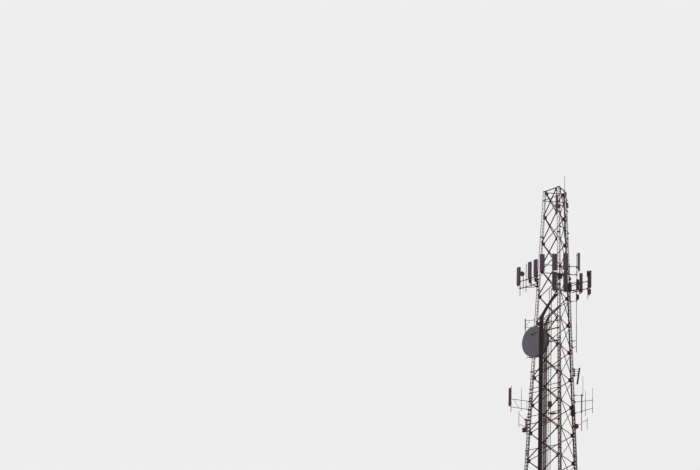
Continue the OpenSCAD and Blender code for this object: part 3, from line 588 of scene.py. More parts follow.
def finish_for(slot):
    """Finish of a material slot or of one of its variants, made once."""
    if slot not in FINISHES:
        look = bpy.context.scene.tower_finish
        makers = {
            "galvanised_steel": lambda: make_steel(look.steel, look.rust, look.rust_share),
            "radome_plastic": lambda: make_panel_skin(look.panel),
            "unit_casing": lambda: make_casing(
                "unit_paint", look.unit, scaled(look.unit, 1.6), 0.5),
            "box_casing": lambda: make_casing(
                "box_paint", look.box, scaled(look.box, 0.7), 0.6, low=look.primer),
            "drum_casing": lambda: make_casing(
                "drum_paint", look.unit, scaled(look.unit, 1.6), 0.5, low=look.primer),
            "dish_paint": lambda: make_dish_paint(look.dish, look.cloth),
            "dish_fabric": lambda: make_cloth(look.cloth),
            "cable_jacket": lambda: make_jacket("cable_jacket", look.cable),
            "dusty_jacket": lambda: make_jacket("dusty_jacket", look.dusty_cable),
            "whip_tube": lambda: make_casing(
                "whip_skin", look.whip, scaled(look.whip, 0.75), 0.4),
        }
        FINISHES[slot] = makers[slot]()
    return FINISHES[slot]


def colour_setting(name, description, default):
    return FloatVectorProperty(name=name, description=description, default=default, size=3,
                               min=0, max=1, subtype="COLOR")


def length_setting(name, description, default, low, high):
    return FloatProperty(name=name, description=description, default=default, min=low,
                         max=high, unit="LENGTH")


def count_setting(name, description, default, low, high):
    return IntProperty(name=name, description=description, default=default, min=low, max=high)


def turn_setting(name, description, degrees):
    return FloatProperty(name=name, description=description, default=radians(degrees),
                         subtype="ANGLE")


class TowerFinish(bpy.types.PropertyGroup):
    steel: colour_setting("Zinc", "Colour of the galvanised steel", (0.072, 0.031, 0.028))
    rust: colour_setting("Rust", "Colour of rust patches", (0.085, 0.03, 0.02))
    rust_share: FloatProperty(name="Rust share", description="How far rust patches spread",
                              default=0.06, min=0, max=0.3, subtype="FACTOR")
    panel: colour_setting("Panels", "Skin of the panel antennas", (0.067, 0.041, 0.063))
    unit: colour_setting("Units", "Paint of the radio units", (0.036, 0.02, 0.026))
    box: colour_setting("Boxes", "Paint of the equipment boxes", (0.07, 0.037, 0.024))
    primer: colour_setting("Primer", "Red primer of the low units", (0.07, 0.008, 0.007))
    # The dish colour is kept dark as painted shade on the shroud's side.
    dish: colour_setting("Dish", "Paint of the dish and its shroud", (0.038, 0.02, 0.022))
    cloth: colour_setting("Radome", "Cloth over the dish", (0.093, 0.085, 0.108))
    cable: colour_setting("Cables", "Jacket of the cables", (0.0095, 0.005, 0.0065))
    dusty_cable: colour_setting("Dusty cables", "Jacket of the cables on the tray",
                                (0.048, 0.019, 0.017))
    whip: colour_setting("Whips", "Skin of the whip antennas", (0.07, 0.034, 0.032))


class TowerFasteners(bpy.types.PropertyGroup):
    brace_bolt: length_setting("Brace bolt", "Bolt head of the bracing across flats", 0.036,
                               0.02, 0.05)
    splice_bolt: length_setting("Splice bolt", "Bolt head of the leg joints across flats",
                                0.041, 0.024, 0.06)
    anchor_nut: length_setting("Anchor nut", "Nut on the anchor bolts across flats", 0.055,
                               0.04, 0.08)
    bolts_per_end: count_setting("Bolts per end", "Bolts at a brace end", 3, 1, 4)


class TowerFittings(bpy.types.PropertyGroup):
    fins: count_setting("Fins", "Cooling fins on a radio unit", 9, 4, 16)
    u_bolt: length_setting("U-bolt", "Rod of the U-bolts that hold the masts", 0.016, 0.01,
                           0.02)
    hooks: count_setting("Hooks", "Hooks that hold the cloth of the dish", 32, 12, 48)
    jumper: length_setting("Jumper cable", "Diameter of the jumper cables", 0.018, 0.01, 0.03)


class TowerView(bpy.types.PropertyGroup):
    distance: length_setting("Distance", "Camera distance from the tower axis", 200, 50, 400)
    height: length_setting("Eye height", "Camera height above the base", -29.942, -100, 40)
    azimuth: turn_setting("Azimuth", "Camera's place round the tower", -11.3401)
    yaw: turn_setting("Yaw", "View turned from the tower axis", 6.5767)
    pitch: turn_setting("Pitch", "View raised from level", 16.8817)
    roll: turn_setting("Roll", "View rolled about its axis", 2.366)
    lens: FloatProperty(name="Lens", description="Focal length on a 36 mm frame",
                        default=96.0222, min=20, max=300, subtype="DISTANCE_CAMERA")
    floor_radius: length_setting("Floor radius", "Radius of the floor, faded at its rim", 16,
                                 8, 18)
    floor: colour_setting("Floor", "Colour of the floor", (0.8, 0.79, 0.79))
    backdrop: colour_setting("Backdrop", "Colour behind the tower", (0.86, 0.85, 0.855))


class TOWER_OT_finishes(bpy.types.Operator):
    """Give every solid of the tower its finish"""
    bl_idname = "tower.finishes"
    bl_label = "Finish the Solids"

    def execute(self, context):
        slots = {s["node"]: s["material_slot"] for s in frame["record"]["subparts"]}
        for name, node in frame["nodes"].items():
            for slot in node.material_slots:
                slot.material = finish_for(VARIANTS.get(name, slots[name]))
        return {"FINISHED"}


class TOWER_OT_brace_bolts(bpy.types.Operator):
    """Bolt the crossed braces to the gussets and to the packers between them"""
    bl_idname = "tower.brace_bolts"
    bl_label = "Brace Bolts"

    def execute(self, context):
        size = context.scene.tower_fasteners
        ends, middles = [], []
        for j in range(3):
            out = side_dir(j)
            for k in range(BAYS):
                span = (level(k) + BRACE_RISE, level(k + 1) - BRACE_RISE)
                p0, p1 = (side_pt(j, 1, BRACE_END, GUSSET_OUT, t) for t in span)
                q0, q1 = (side_pt(j + 1, -1, BRACE_END, GUSSET_OUT, t) for t in span)
                for p, q, lift in ((p0, q1, BRACE_T), (p1, q0, 0)):
                    run = (q - p).normalized()
                    for n in range(size.bolts_per_end):
                        step = BOLT_START + BOLT_STEP * n
                        ends.append(aim(p + run * step + out * lift, out, run))
                        ends.append(aim(q - run * step + out * lift, out, run))
                w0, w1 = (p0 - q0).xy.length, (p1 - q1).xy.length
                middle = p0 + (q1 - p0) * w0 / (w0 + w1)
                middles.append(aim(middle + out * BRACE_T, out))
        grip = GUSSET_T + BRACE_T
        repeat("brace_end_bolts", bolt_shape(size.brace_bolt, grip), ends, STEEL)
        repeat("brace_middle_bolts", bolt_shape(size.brace_bolt, grip + BRACE_T), middles,
               STEEL)
        return {"FINISHED"}


class TOWER_OT_leg_bracing(bpy.types.Operator):
    """Cross the lacing of the lower legs with flat bars"""
    bl_idname = "tower.leg_bracing"
    bl_label = "Finer Leg Bracing"

    def execute(self, context):
        bars = []
        for i, (top, width) in enumerate(CROSSED):
            for k in range(1, int(top * STEPS)):
                for f in range(3):
                    first, last = (f + 1, f) if k % 2 == 0 else (f, f + 1)
                    turn = radians(f * 120 - 30)
                    out = Vector((cos(turn), sin(turn), 0))
                    ends = [(chord_pt(first, k * PITCH), chord_pt(last, (k + 1) * PITCH))]
                    if i == 0:
                        ends.append((chord_pt(f, k * PITCH), chord_pt(f + 1, k * PITCH)))
                    for p, q in ends:
                        place = aim((p + q) / 2 + out * 0.022, out, q - p)
                        size = Matrix.Diagonal(((q - p).length, width, 1, 1))
                        bars.append(leg_frame(i) @ place @ size)
        flat = block_shape("flat", [((1, 1, 0.008), (0, 0, 0))])
        repeat("leg_cross_bars", flat, bars, STEEL)
        return {"FINISHED"}


class TOWER_OT_splice_bolts(bpy.types.Operator):
    """Bolt the joint plates of the legs together"""
    bl_idname = "tower.splice_bolts"
    bl_label = "Leg Joint Bolts"

    def execute(self, context):
        size = context.scene.tower_fasteners
        places = []
        for i in range(3):
            for joint in range(1, 6):
                t = (joint * 2 * STEPS + 2) * PITCH + JOINT_T
                for c in range(3):
                    for side in (-1, 0, 1):
                        inward = radians(c * 120 + 90) + side * JOINT_BOLT_TURN
                        aside = Vector((cos(inward), sin(inward), 0)) * JOINT_BOLT_OUT
                        places.append(leg_frame(i) @ Matrix.Translation(chord_pt(c, t) + aside))
        repeat("leg_joint_bolts", bolt_shape(size.splice_bolt, 2 * JOINT_T), places, STEEL)
        return {"FINISHED"}


class TOWER_OT_anchors(bpy.types.Operator):
    """Stand the anchor bolts in the base plates and stiffen the leg feet"""
    bl_idname = "tower.anchors"
    bl_label = "Anchors and Feet"

    def execute(self, context):
        nut = context.scene.tower_fasteners.anchor_nut
        anchor = prism_shape("anchor", [
            (16, nut * 0.32, 0.003, BASE_T + nut * 2.0),
            (16, nut * 0.75, BASE_T + 0.0005, BASE_T + nut * 0.14),
            (6, nut * 0.57, BASE_T + nut * 0.14, BASE_T + nut * 0.9),
            (6, nut * 0.57, BASE_T + nut * 0.92, BASE_T + nut * 1.5)])
        places = []
        for i in range(3):
            for k in range(6):
                turn = Matrix.Rotation(radians(k * 60 + 30), 4, "Z")
                places.append(foot_frame(i) @ turn @ Matrix.Translation((ANCHOR_PCD / 2, 0, 0)))
        repeat("anchor_bolts", anchor, places, STEEL)

        bm = bmesh.new()
        add_plate(bm, [(0.0, 0.0), (0.1, 0.0), (0.1, 0.02), (0.015, 0.16), (0.0, 0.16)])
        places = []
        for i in range(3):
            foot = foot_frame(i, BASE_T + JOINT_T)
            for c in range(3):
                turn = Matrix.Rotation(radians(c * 120 - 90), 4, "Z")
                shift = Matrix.Translation((LEG_R + CHORD_F - 0.004, 0, 0))
                places.append(foot @ turn @ shift @ Matrix.Scale(0.55, 4, (1, 0, 0)))
        repeat("foot_ribs", new_shape("foot_rib", bm), places, STEEL)
        return {"FINISHED"}


class TOWER_OT_antenna_trim(bpy.types.Operator):
    """Close the panel antennas with end caps and give them their connectors"""
    bl_idname = "tower.antenna_trim"
    bl_label = "Antenna Caps and Connectors"

    def execute(self, context):
        caps, plugs = [], []
        for unit in PANELS:
            place, (w, d, h) = unit_frame(unit, PANEL)
            for end in (0, 1):
                turn = Matrix.Rotation(pi * end, 4, "X")
                lift = Matrix.Translation((0, d / 2, h / 2 * (-1) ** end))
                caps.append(place @ lift @ turn @ Matrix.Diagonal((w, d, 1, 1)))
            for n in range(4):
                plugs.append(place @ Matrix.Translation(((n - 1.5) * w / 5, d / 2, -h / 2)))
        bm = bmesh.new()
        add_block(bm, (0.96, 0.93, 0.02), (0, 0, 0.009))
        add_block(bm, (0.8, 0.7, 0.016), (0, 0, 0.026))
        bmesh.ops.bevel(bm, geom=bm.edges[:], offset=0.006, segments=1, affect="EDGES",
                        profile=0.5, material=-1)
        repeat("panel_caps", new_shape("cap", bm), caps, CASING)
        plug = prism_shape("plug", [(12, 0.02, -0.06, -0.015), (6, 0.024, -0.085, -0.058),
                                    (10, 0.014, -0.16, -0.08, 0.012)])
        repeat("panel_connectors", plug, plugs, JACKET)
        return {"FINISHED"}


class TOWER_OT_radio_trim(bpy.types.Operator):
    """Put cooling fins, a handle and connectors on the radio units"""
    bl_idname = "tower.radio_trim"
    bl_label = "Radio Fins and Connectors"

    def execute(self, context):
        fins, handles, plugs = [], [], []
        count = context.scene.tower_fittings.fins
        for unit in RADIOS:
            place, (w, d, h) = unit_frame(unit, RADIO)
            for n in range(count):
                x = (n - (count - 1) / 2) * w * 0.78 / (count - 1)
                fins.append(place @ Matrix.Translation((x, 0, 0)) @ Matrix.Diagonal((1, 1, h, 1)))
            handles.append(place @ Matrix.Translation((0, d / 2, h / 2)))
            for n in range(3):
                plugs.append(place @ Matrix.Translation(((n - 1) * w / 4, d / 2, -h / 2)))
        fin = block_shape("fin", [((0.005, 0.024, 0.86), (0, -0.01, 0))])
        repeat("radio_fins", fin, fins, CASING)
        handle = block_shape("handle", [((0.16, 0.016, 0.014), (0, 0, 0.045)),
                                        ((0.014, 0.016, 0.05), (-0.073, 0, 0.02)),
                                        ((0.014, 0.016, 0.05), (0.073, 0, 0.02))])
        repeat("radio_handles", handle, handles, CASING)
        plug = prism_shape("plug", [(12, 0.017, -0.04, 0.002), (6, 0.02, -0.062, -0.038),
                                    (8, 0.011, -0.13, -0.06)])
        repeat("radio_connectors", plug, plugs, JACKET)
        return {"FINISHED"}


class TOWER_OT_pipe_clamps(bpy.types.Operator):
    """Hold every mast to the frame pipes with clamp plates and U-bolts"""
    bl_idname = "tower.pipe_clamps"
    bl_label = "Pipe Clamps"

    def execute(self, context):
        places = []
        for sector in SECTORS:
            for x, low, high in MASTS[sector]:
                for bays in SECTORS[sector][2]:
                    if low < bays < high:
                        places.append(mast_frame(sector, x, bays))
        rod = context.scene.tower_fittings.u_bolt
        bm = bmesh.new()
        self.add_loop(bm, rod)
        add_block(bm, (0.16, 0.008, 0.13), (0, MAST_D / 2 + PIPE_D - 0.002, 0))
        for x in (-0.055, 0.055):
            for z in (-0.047, 0.047):
                seat = Matrix.Translation((x, MAST_D / 2 + PIPE_D + 0.002, z))
                add_prism(bm, 6, rod * 1.05, 0, rod * 1.1, place=seat @ INWARD)
        repeat("mast_clamps", new_shape("clamp", bm, 40), places, STEEL)
        return {"FINISHED"}

    def add_loop(self, bm, rod):
        """Two U-bolts round the mast, above and below the pipe."""
        for z in (-0.047, 0.047):
            ring = bmesh.ops.create_circle(
                bm, cap_ends=False, segments=6, radius=rod / 2,
                matrix=Matrix.Translation((MAST_D / 2 + rod / 2, 0, z))
                @ Matrix.Rotation(radians(90), 4, "X"))
            edges = list({e for v in ring["verts"] for e in v.link_edges})
            bmesh.ops.spin(bm, geom=ring["verts"] + edges, cent=(0, 0, z), axis=(0, 0, -1),
                           angle=pi, steps=8, use_merge=False)
            for x in (-1, 1):
                shift = Matrix.Translation((x * (MAST_D / 2 + rod / 2), -0.002, z))
                add_prism(bm, 6, rod / 2, 0, MAST_D / 2 + PIPE_D + 0.012, place=shift @ INWARD)


class TOWER_OT_jumpers(bpy.types.Operator):
    """Lead jumper cables from the antennas and radios along masts, pipes and arms to the legs"""
    bl_idname = "tower.jumpers"
    bl_label = "Jumper Cables"

    def execute(self, context):
        across = context.scene.tower_fittings.jumper
        routes = []
        count = {}
        for units, usual, plugs, spread in ((PANELS, PANEL, 4, 5), (RADIOS, RADIO, 2, 4)):
            for unit in units:
                place, (w, d, h) = unit_frame(unit, usual)
                for n in range(plugs):
                    x = (n - (plugs - 1) / 2) * w / spread
                    start = [place @ Vector((x, d / 2, -h / 2 - drop)) for drop in (0.12, 0.2)]
                    key = (unit[0], unit[1] < ARMS[unit[0]][0])
                    count[key] = count.get(key, -1) + 1
                    routes.append(start + self.way(unit, n, h, across, count[key]))
        add_hoses("jumper_cables", routes, across / 2, JACKET)
        return {"FINISHED"}

    def way(self, unit, n, h, across, spot):
        """Up or down the mast, along the lower pipe, then along the arm to the leg."""
        sector, x, bays = unit[:3]
        i, turn, pipes = SECTORS[sector][:3]
        mid, half = ARMS[sector]
        side = -1 if n % 2 else 1
        mast = mast_frame(sector, x, bays)
        rise = (pipes[0] - bays) * BAY
        hug = side * (MAST_D / 2 + across * (0.5 + n // 2))
        low = -h / 2 - 0.24
        if sector == "front" and bays < 8.4:
            return self.along_foot(x, n, spot, across)
        points = [mast @ Vector((hug, -0.02, low)), mast @ Vector((hug, 0, low + 0.12))]
        if abs(rise - low) > 0.5:
            points.append(mast @ Vector((hug, 0, rise - 0.16)))
        angle = radians(200 + 140 * (spot % 8) / 7)
        ring = PIPE_D / 2 + across * (0.5 + spot // 8)
        y, z = cos(angle) * ring, sin(angle) * ring
        level_frame = mast_frame(sector, 0, pipes[0])
        pipe_y = (PIPE_D + MAST_D) / 2 - 0.008
        arm = mid + (-0.45 if x < mid else 0.45) * half
        ahead = 1 if arm > x else -1
        run = [x + ahead * 0.12, x + (arm - x) * 0.5, arm - ahead * 0.08, arm]
        points += [level_frame @ Vector((v, pipe_y + y, z)) for v in run]
        foot = level_frame @ Vector((arm, pipe_y, 0))
        t = pipes[0] * BAY / cos(TILT)
        if turn:
            end = leg_frame(i) @ Vector((LEG_W / 4 + (CHORD_F + 0.06) * cos(radians(30)),
                                         -LEG_R / 4 - (CHORD_F + 0.06) / 2, t))
        else:
            end = leg_frame(i) @ Vector((0, -LEG_R - CHORD_F - 0.06, t))
        aside = (end - foot).cross(UP).normalized() * y + UP * z
        points += [foot.lerp(end, v) + aside for v in (0.15, 0.5, 0.9)]
        return points if sector == "front" else points + self.down_leg(sector, i, t, spot, across)

    def down_leg(self, sector, i, t, spot, across):
        """Along the side of the leg, down on the right and up on the left, then in between
        its chords."""
        s, length = (1, -0.72) if sector == "left" else (-1, 1.14)
        e = -LEG_W / 2 + 0.17 * ((spot % 7) / 6 - 0.5)
        o = CHORD_F + 0.015 + across * (spot // 7)
        points = [side_pt(i, s, e, o, t - length * share) for share in (0.3, 0.6, 0.88)]
        if sector == "right":
            points.insert(0, side_pt(i, s, -LEG_W, CHORD_F + 0.05, t - 0.14))
        return points + [side_pt(i, s, -LEG_W / 2, -0.06, t - length)]

    def along_foot(self, x, n, spot, across):
        """Over the foot bar of the front frame to the middle, then back to the leg."""
        bar = mast_frame("front", 0, FOOT_BAR)
        y = (PIPE_D + MAST_D) / 2 - 0.02 - across * (spot % 3 - 1)
        z = 0.027 + across * (0.5 + spot // 3)
        ahead = 1 if x < TURN_BACK else -1
        end = TURN_BACK - ahead * (0.06 + 0.03 * n)
        run = [x + ahead * 0.08, (x + end) / 2, end - ahead * 0.06]
        points = [bar @ Vector((v, y, z)) for v in run]
        points.append(bar @ Vector((end, y + 0.06, z + 0.12)))
        pole = TURN_BACK - ahead * 0.03 * (1 + n)
        return points + [bar @ Vector((pole, y + v, w)) for v, w in ((0.3, 0.5), (0.52, 1.1))]


class TOWER_OT_boxes(bpy.types.Operator):
    """Give the equipment boxes doors, hinges, a latch and cable glands"""
    bl_idname = "tower.boxes"
    bl_label = "Box Doors"

    def execute(self, context):
        t = 3.9 * BAY / cos(TILT)
        flank = (leg_frame(1) @ Matrix.Translation((LEG_W / 4, -LEG_R / 4, t))
                 @ Matrix.Rotation(radians(60), 4, "Z")
                 @ Matrix.Translation((0, -CHORD_F - CLEAR_O + 0.004 - 0.24, 0)))
        mast = out_at(*LOW_MAST, 3.07) @ Matrix.Translation((0, -MAST_D / 2 - 0.04 - 0.26, 0))
        ladder = left_frame(CLIMB_S + 0.19, CLIMB_IN + 0.03 + 0.2, 3.93 * BAY)
        doors = [(flank, 0.47, 0.36 * BAY), (mast, 0.5, 0.44), (ladder, 0.5, 0.6)]
        bm = bmesh.new()
        latches = bmesh.new()
        for place, w, h in doors:
            add_soft_block(bm, (w - 0.05, 0.012, h - 0.05), (0, -0.005, 0), place, 0.004)
            add_block(bm, (w + 0.03, 0.05, 0.012), (0, -0.012, h / 2 + 0.005), place)
            for z in (-0.3, 0.3):
                add_block(latches, (0.02, 0.02, 0.09), (-w / 2 + 0.02, -0.014, z * h), place)
            add_block(latches, (0.03, 0.03, 0.12), (w / 2 - 0.06, -0.016, 0), place)
            for n in range(4):
                gland = place @ Matrix.Translation(((n - 1.5) * w / 6, 0.1, -h / 2))
                add_prism(latches, 10, 0.016, -0.045, 0.001, place=gland)
        add_piece("box_doors", bm, CASING, "box_casing")
        add_piece("box_latches", latches, STEEL)
        return {"FINISHED"}


class TOWER_OT_slim_units(bpy.types.Operator):
    """Add the slim antenna of the low left mast, the tail of the rod antenna and a side unit"""
    bl_idname = "tower.slim_units"
    bl_label = "Slim Units"

    def execute(self, context):
        beside = Matrix.Rotation(radians(-37), 4, "Z")
        foot = out_at(*LOW_MAST, 3.17) @ beside
        reach = MAST_D / 2 + 0.03 + 0.095
        bm = bmesh.new()
        middle = foot @ Matrix.Translation((reach, 0, 0))
        for radius, z0, z1 in ((0.095, 0, 0.8), (0.08, 0.795, 0.84), (0.065, -0.03, 0.005)):
            add_prism(bm, 24, radius, z0, z1, place=middle)
        add_piece("slim_antenna", bm, CASING, "box_casing")

        bm = bmesh.new()
        for z in (0.1, 0.68):
            add_block(bm, (reach + 0.1, 0.13, 0.05), (reach / 2, 0, z), foot)
        add_block(bm, (0.09, 0.42, 0.13), (0, -0.06, 0), out_at(*LOW_MAST, 3.45))
        tail = out_at(2, 150, 6.87, LEG_R + 1.05, 6.62)
        add_prism(bm, 16, 0.034, 0, 0.17 * BAY, place=tail)
        side = mast_frame("right", -1.83, 8.87, -130)
        for z in (-0.2, 0.2):
            add_block(bm, (0.12, 0.14, 0.07), (0, -0.03, z), side)
        add_piece("slim_brackets", bm, STEEL)

        place, (w, d, h) = unit_frame(RADIOS[-1], RADIO)
        bm = bmesh.new()
        add_soft_block(bm, (w, d, h), (0, d / 2, 0), place, 0.012)
        add_piece("side_radio", bm, CASING)
        return {"FINISHED"}


class TOWER_OT_whip_trim(bpy.types.Operator):
    """Put a ferrule at the foot of every whip and a cap on its top"""
    bl_idname = "tower.whip_trim"
    bl_label = "Whip Ferrules and Caps"

    def execute(self, context):
        bm = bmesh.new()
        for i, turn, ref, o, low, high, d in WHIPS:
            foot = out_at(i, turn, ref, o, low)
            tip = out_at(i, turn, ref, o, high)
            rings = ((foot, d * 0.66, -0.01, 0.11), (foot, d * 0.6, 0.108, 0.13),
                     (tip, d * 0.53, -0.03, 0.006))
            for place, radius, z0, z1 in rings:
                add_prism(bm, 16, radius, z0, z1, place=place)
        add_piece("whip_ferrules", bm, STEEL)
        return {"FINISHED"}


class TOWER_OT_cable_clips(bpy.types.Operator):
    """Hold the cables to the ladders and to the leg with strips and straps"""
    bl_idname = "tower.cable_clips"
    bl_label = "Cable Clips"

    def execute(self, context):
        places = [left_frame(LADDER_S, LADDER_OUT + 0.04 + FEEDER_D + 0.001, z)
                  for z in self.heights(LADDER_FOOT + 0.3, 6.8 * BAY)]
        bm = bmesh.new()
        add_block(bm, (0.628, 0.005, 0.03), (0, -0.0025, 0))
        for x in (-0.3, 0.3):
            add_prism(bm, 6, 0.011, -0.06, 0, place=Matrix.Translation((x, 0.05, 0)) @ INWARD)
        repeat("feeder_clips", new_shape("clip", bm), places, STEEL)

        places = [left_frame(TRAY_S, CLIMB_IN - 0.013 - TRAY_D, z)
                  for z in self.heights(0.5, 6.9 * BAY)]
        clip = block_shape("clip", [((0.56, 0.004, 0.026), (0, 0.002, 0))])
        repeat("tray_clips", clip, places, STEEL)

        y = LEG_R / 2 + JOINT_EDGE * 1.15 + DROP_D + 0.001
        places = [leg_frame(1) @ Matrix.Translation((0, y, k * LEG_LEN / STRAP_GAPS))
                  for k in range(1, STRAP_GAPS)]
        strap = block_shape("strap", [((0.235, 0.004, 0.03), (0, 0.002, 0)),
                                      ((0.004, 0.056, 0.03), (-0.116, -0.026, 0)),
                                      ((0.004, 0.056, 0.03), (0.116, -0.026, 0)),
                                      ((0.235, 0.004, 0.03), (0, -0.054, 0))])
        repeat("leg_straps", strap, places, STEEL)
        return {"FINISHED"}

    def heights(self, first, last):
        """Heights of the clips of a ladder, from its first clip up to a limit."""
        return [first + k * CLIP_STEP for k in range(int((last - first) / CLIP_STEP) + 1)]


class TOWER_OT_dish_trim(bpy.types.Operator):
    """Ribs behind the dish, a band round its rim and the hooks that hold the cloth"""
    bl_idname = "tower.dish_trim"
    bl_label = "Dish Ribs and Hooks"

    def execute(self, context):
        frame_of_dish = dish_frame()
        rim = HUB_L + BOWL_L
        hooks = context.scene.tower_fittings.hooks
        places = []
        for n in range(hooks):
            turn = Matrix.Rotation(2 * pi * n / hooks, 4, "Z")
            shift = Matrix.Translation((DISH_D / 2, 0, rim + SHROUD_L))
            places.append(frame_of_dish @ turn @ shift)
        hook = block_shape("hook", [((0.012, 0.03, 0.1), (0.008, 0, -0.07)),
                                    ((0.01, 0.012, 0.09), (0.026, 0, -0.01))])
        repeat("dish_hooks", hook, places, STEEL)

        places = [frame_of_dish @ Matrix.Rotation(2 * pi * n / 12, 4, "Z") for n in range(12)]
        bm = bmesh.new()
        add_plate(bm, [(0.3, HUB_L - 0.022), (DISH_D / 4, HUB_L + BOWL_L * 0.22 - 0.002),
                       (DISH_D * 0.38, HUB_L + BOWL_L * 0.55 - 0.002),
                       (DISH_D * 0.49, rim - 0.02), (DISH_D * 0.49, rim - 0.05),
                       (DISH_D * 0.36, HUB_L + 0.02), (0.32, HUB_L - 0.1)])
        repeat("dish_ribs", new_shape("rib", bm), places, "dish_paint")

        # Dark bars across the top of the radome's front, in the unit paint.
        front = rim + SHROUD_L + RADOME_L
        bm = bmesh.new()
        for p, q in (((-0.44, 0.81), (-0.04, 0.8)), ((-0.04, 0.8), (0.42, 0.97))):
            start, end = (Vector((*spot, front + 0.012)) for spot in (p, q))
            place = aim((start + end) / 2, UP, end - start)
            add_block(bm, ((end - start).length + 0.05, 0.085, 0.03), (0, 0, 0), place)
        add_block(bm, (0.2, 0.15, 0.05), (-0.1, 0.8, front + 0.02))
        bmesh.ops.transform(bm, matrix=frame_of_dish, verts=bm.verts[:])
        add_piece("dish_top_bars", bm, CASING)

        bm = bmesh.new()
        foot = out_at(2, 210, 5.72, 0.1, 5.735)
        tip = out_at(2, 210, 5.72, 0.98, 5.7)
        run = tip.translation - foot.translation
        add_prism(bm, 12, 0.036, 0, run.length, place=aim(foot.translation, run))
        for share, size in ((0.12, (0.14, 0.14, 0.2)), (0.5, (0.11, 0.13, 0.16)),
                            (0.97, (0.05, 0.1, 0.1))):
            place = aim(foot.translation.lerp(tip.translation, share), run)
            add_block(bm, (size[2], size[1], size[0]), (0, 0, 0), place)
        add_piece("dish_stay", bm, STEEL)

        bm = bmesh.new()
        for z, width, out in ((rim + 0.02, 0.07, 0.012), (rim + SHROUD_L * 0.55, 0.03, 0.007),
                              (rim + SHROUD_L - 0.05, 0.05, 0.009)):
            base = DISH_D / 2 - 0.001
            ring = [bm.verts.new((x, 0, y)) for x, y in
                    ((base, z - width / 2), (base + out, z - width / 2),
                     (base + out, z + width / 2), (base, z + width / 2))]
            edges = [bm.edges.new((ring[k], ring[(k + 1) % 4])) for k in range(4)]
            bmesh.ops.spin(bm, geom=ring + edges, cent=(0, 0, 0), axis=(0, 0, 1), angle=2 * pi,
                           steps=96, use_merge=True)
        bmesh.ops.remove_doubles(bm, verts=bm.verts[:], dist=0.0002)
        repeat("dish_bands", new_shape("band", bm), [frame_of_dish], "dish_paint")
        return {"FINISHED"}


class TOWER_OT_stage(bpy.types.Operator):
    """Set the floor, the soft light and the camera"""
    bl_idname = "tower.stage"
    bl_label = "Stage and Camera"

    def execute(self, context):
        view = context.scene.tower_view
        self.add_floor(view)
        self.add_world(view)
        self.add_lamp("key_lamp", (48, 0, -40), 1.25, 12)
        self.add_lamp("fill_lamp", (62, 0, 75), 0.45, 25)
        self.add_lamp("rim_lamp", (55, 0, 190), 0.35, 20)
        self.add_camera(context, view)
        context.scene.view_settings.view_transform = "Standard"
        return {"FINISHED"}

    def add_floor(self, view):
        bm = bmesh.new()
        centre = Matrix.Translation((0, BASE_R, -0.002))
        bmesh.ops.create_circle(bm, cap_ends=True, segments=96, radius=view.floor_radius,
                                matrix=centre)
        mesh = bpy.data.meshes.new("floor")
        bm.to_mesh(mesh)
        bm.free()
        floor = add_object("floor", mesh)
        finish, tree, shader = new_finish("floor_paint")
        feed(tree, shader, {"Base Color": (*view.floor, 1), "Roughness": 0.9,
                            "Specular IOR Level": 0.1})
        self.fade_rim(tree, shader, view.floor_radius)
        mesh.materials.append(finish)

    def fade_rim(self, tree, shader, radius):
        """Let the floor clear toward its rim, so that it runs into the backdrop."""
        shift = add_node(tree, "VectorMath", {0: add_place(tree), 1: (0, BASE_R, 0)},
                         operation="SUBTRACT")
        length = add_node(tree, "VectorMath", {0: shift.outputs["Vector"]}, operation="LENGTH")
        edge = add_range(tree, length.outputs["Value"], radius * 0.35, radius * 0.98)
        clear = add_node(tree, "BsdfTransparent")
        mix = add_node(tree, "MixShader", {"Fac": edge, 1: shader.outputs["BSDF"],
                                           2: clear.outputs["BSDF"]})
        output = next(n for n in tree.nodes if n.type == "OUTPUT_MATERIAL")
        feed(tree, output, {"Surface": mix.outputs["Shader"]})

    def add_world(self, view):
        world = bpy.data.worlds.new("soft_room")
        bpy.context.scene.world = world
        world.use_nodes = True
        tree = world.node_tree
        tree.nodes.clear()
        light = add_node(tree, "Background", {"Color": (1, 0.98, 0.99, 1), "Strength": 0.55})
        shown = add_node(tree, "Background", {"Color": (*view.backdrop, 1)})
        path = add_node(tree, "LightPath")
        seen = add_node(tree, "Math", {0: path.outputs["Is Camera Ray"],
                                       1: path.outputs["Is Glossy Ray"]}, operation="MAXIMUM")
        mix = add_node(tree, "MixShader", {
            "Fac": seen.outputs["Value"], 1: light.outputs["Background"],
            2: shown.outputs["Background"]})
        add_node(tree, "OutputWorld", {"Surface": mix.outputs["Shader"]})

    def add_lamp(self, name, turn, strength, spread):
        lamp = bpy.data.lights.new(name, "SUN")
        lamp.energy = strength
        lamp.angle = radians(spread)
        add_object(name, lamp).rotation_euler = [radians(v) for v in turn]

    def add_camera(self, context, view):
        eye = Vector((sin(view.azimuth) * view.distance,
                      BASE_R - cos(view.azimuth) * view.distance, view.height))
        heading = view.azimuth + view.yaw
        ahead = Vector((-sin(heading) * cos(view.pitch), cos(heading) * cos(view.pitch),
                        sin(view.pitch)))
        right = Vector((cos(heading), sin(heading), 0))
        above = right.cross(ahead)
        side = right * cos(view.roll) + above * sin(view.roll)
        above = above * cos(view.roll) - right * sin(view.roll)
        rot = Matrix((side, above, -ahead)).transposed().to_4x4()
        camera = bpy.data.cameras.new("photo_camera")
        camera.lens = view.lens
        camera.sensor_width = 36
        camera.clip_end = 2000
        context.scene.camera = add_object("photo_camera", camera)
        context.scene.camera.matrix_world = Matrix.Translation(eye) @ rot


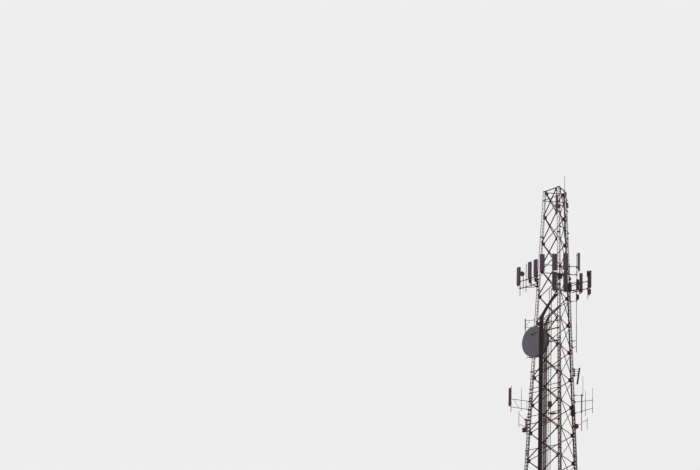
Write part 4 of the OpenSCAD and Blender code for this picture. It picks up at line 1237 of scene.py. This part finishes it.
class TOWER_PT_panel(bpy.types.Panel):
    """Panel that lists the steps and their settings"""
    bl_idname = "TOWER_PT_panel"
    bl_label = "Lattice Tower"
    bl_space_type = "VIEW_3D"
    bl_region_type = "UI"
    bl_category = "Lattice Tower"

    def draw(self, context):
        for operator in OPERATORS:
            self.layout.operator(operator.bl_idname)
        for group in (context.scene.tower_finish, context.scene.tower_fasteners,
                      context.scene.tower_fittings, context.scene.tower_view):
            box = self.layout.box()
            for key in group.__annotations__:
                box.prop(group, key)


OPERATORS = [TOWER_OT_finishes, TOWER_OT_brace_bolts, TOWER_OT_leg_bracing,
             TOWER_OT_splice_bolts, TOWER_OT_anchors, TOWER_OT_antenna_trim,
             TOWER_OT_radio_trim, TOWER_OT_pipe_clamps, TOWER_OT_jumpers, TOWER_OT_boxes,
             TOWER_OT_slim_units, TOWER_OT_whip_trim, TOWER_OT_cable_clips,
             TOWER_OT_dish_trim, TOWER_OT_stage]
GROUPS = {"tower_finish": TowerFinish, "tower_fasteners": TowerFasteners,
          "tower_fittings": TowerFittings, "tower_view": TowerView}


def register():
    for name, group in GROUPS.items():
        bpy.utils.register_class(group)
        setattr(bpy.types.Scene, name, PointerProperty(type=group))
    for kind in (*OPERATORS, TOWER_PT_panel):
        bpy.utils.register_class(kind)


def unregister():
    for kind in (*OPERATORS, TOWER_PT_panel):
        bpy.utils.unregister_class(kind)
    for name, group in GROUPS.items():
        delattr(bpy.types.Scene, name)
        bpy.utils.unregister_class(group)


def main():
    register()
    bpy.ops.tower.finishes()
    bpy.ops.tower.brace_bolts()
    bpy.ops.tower.leg_bracing()
    bpy.ops.tower.splice_bolts()
    bpy.ops.tower.anchors()
    bpy.ops.tower.antenna_trim()
    bpy.ops.tower.radio_trim()
    bpy.ops.tower.pipe_clamps()
    bpy.ops.tower.jumpers()
    bpy.ops.tower.boxes()
    bpy.ops.tower.slim_units()
    bpy.ops.tower.whip_trim()
    bpy.ops.tower.cable_clips()
    bpy.ops.tower.dish_trim()
    bpy.ops.tower.stage()


if __name__ == "__main__":
    main()
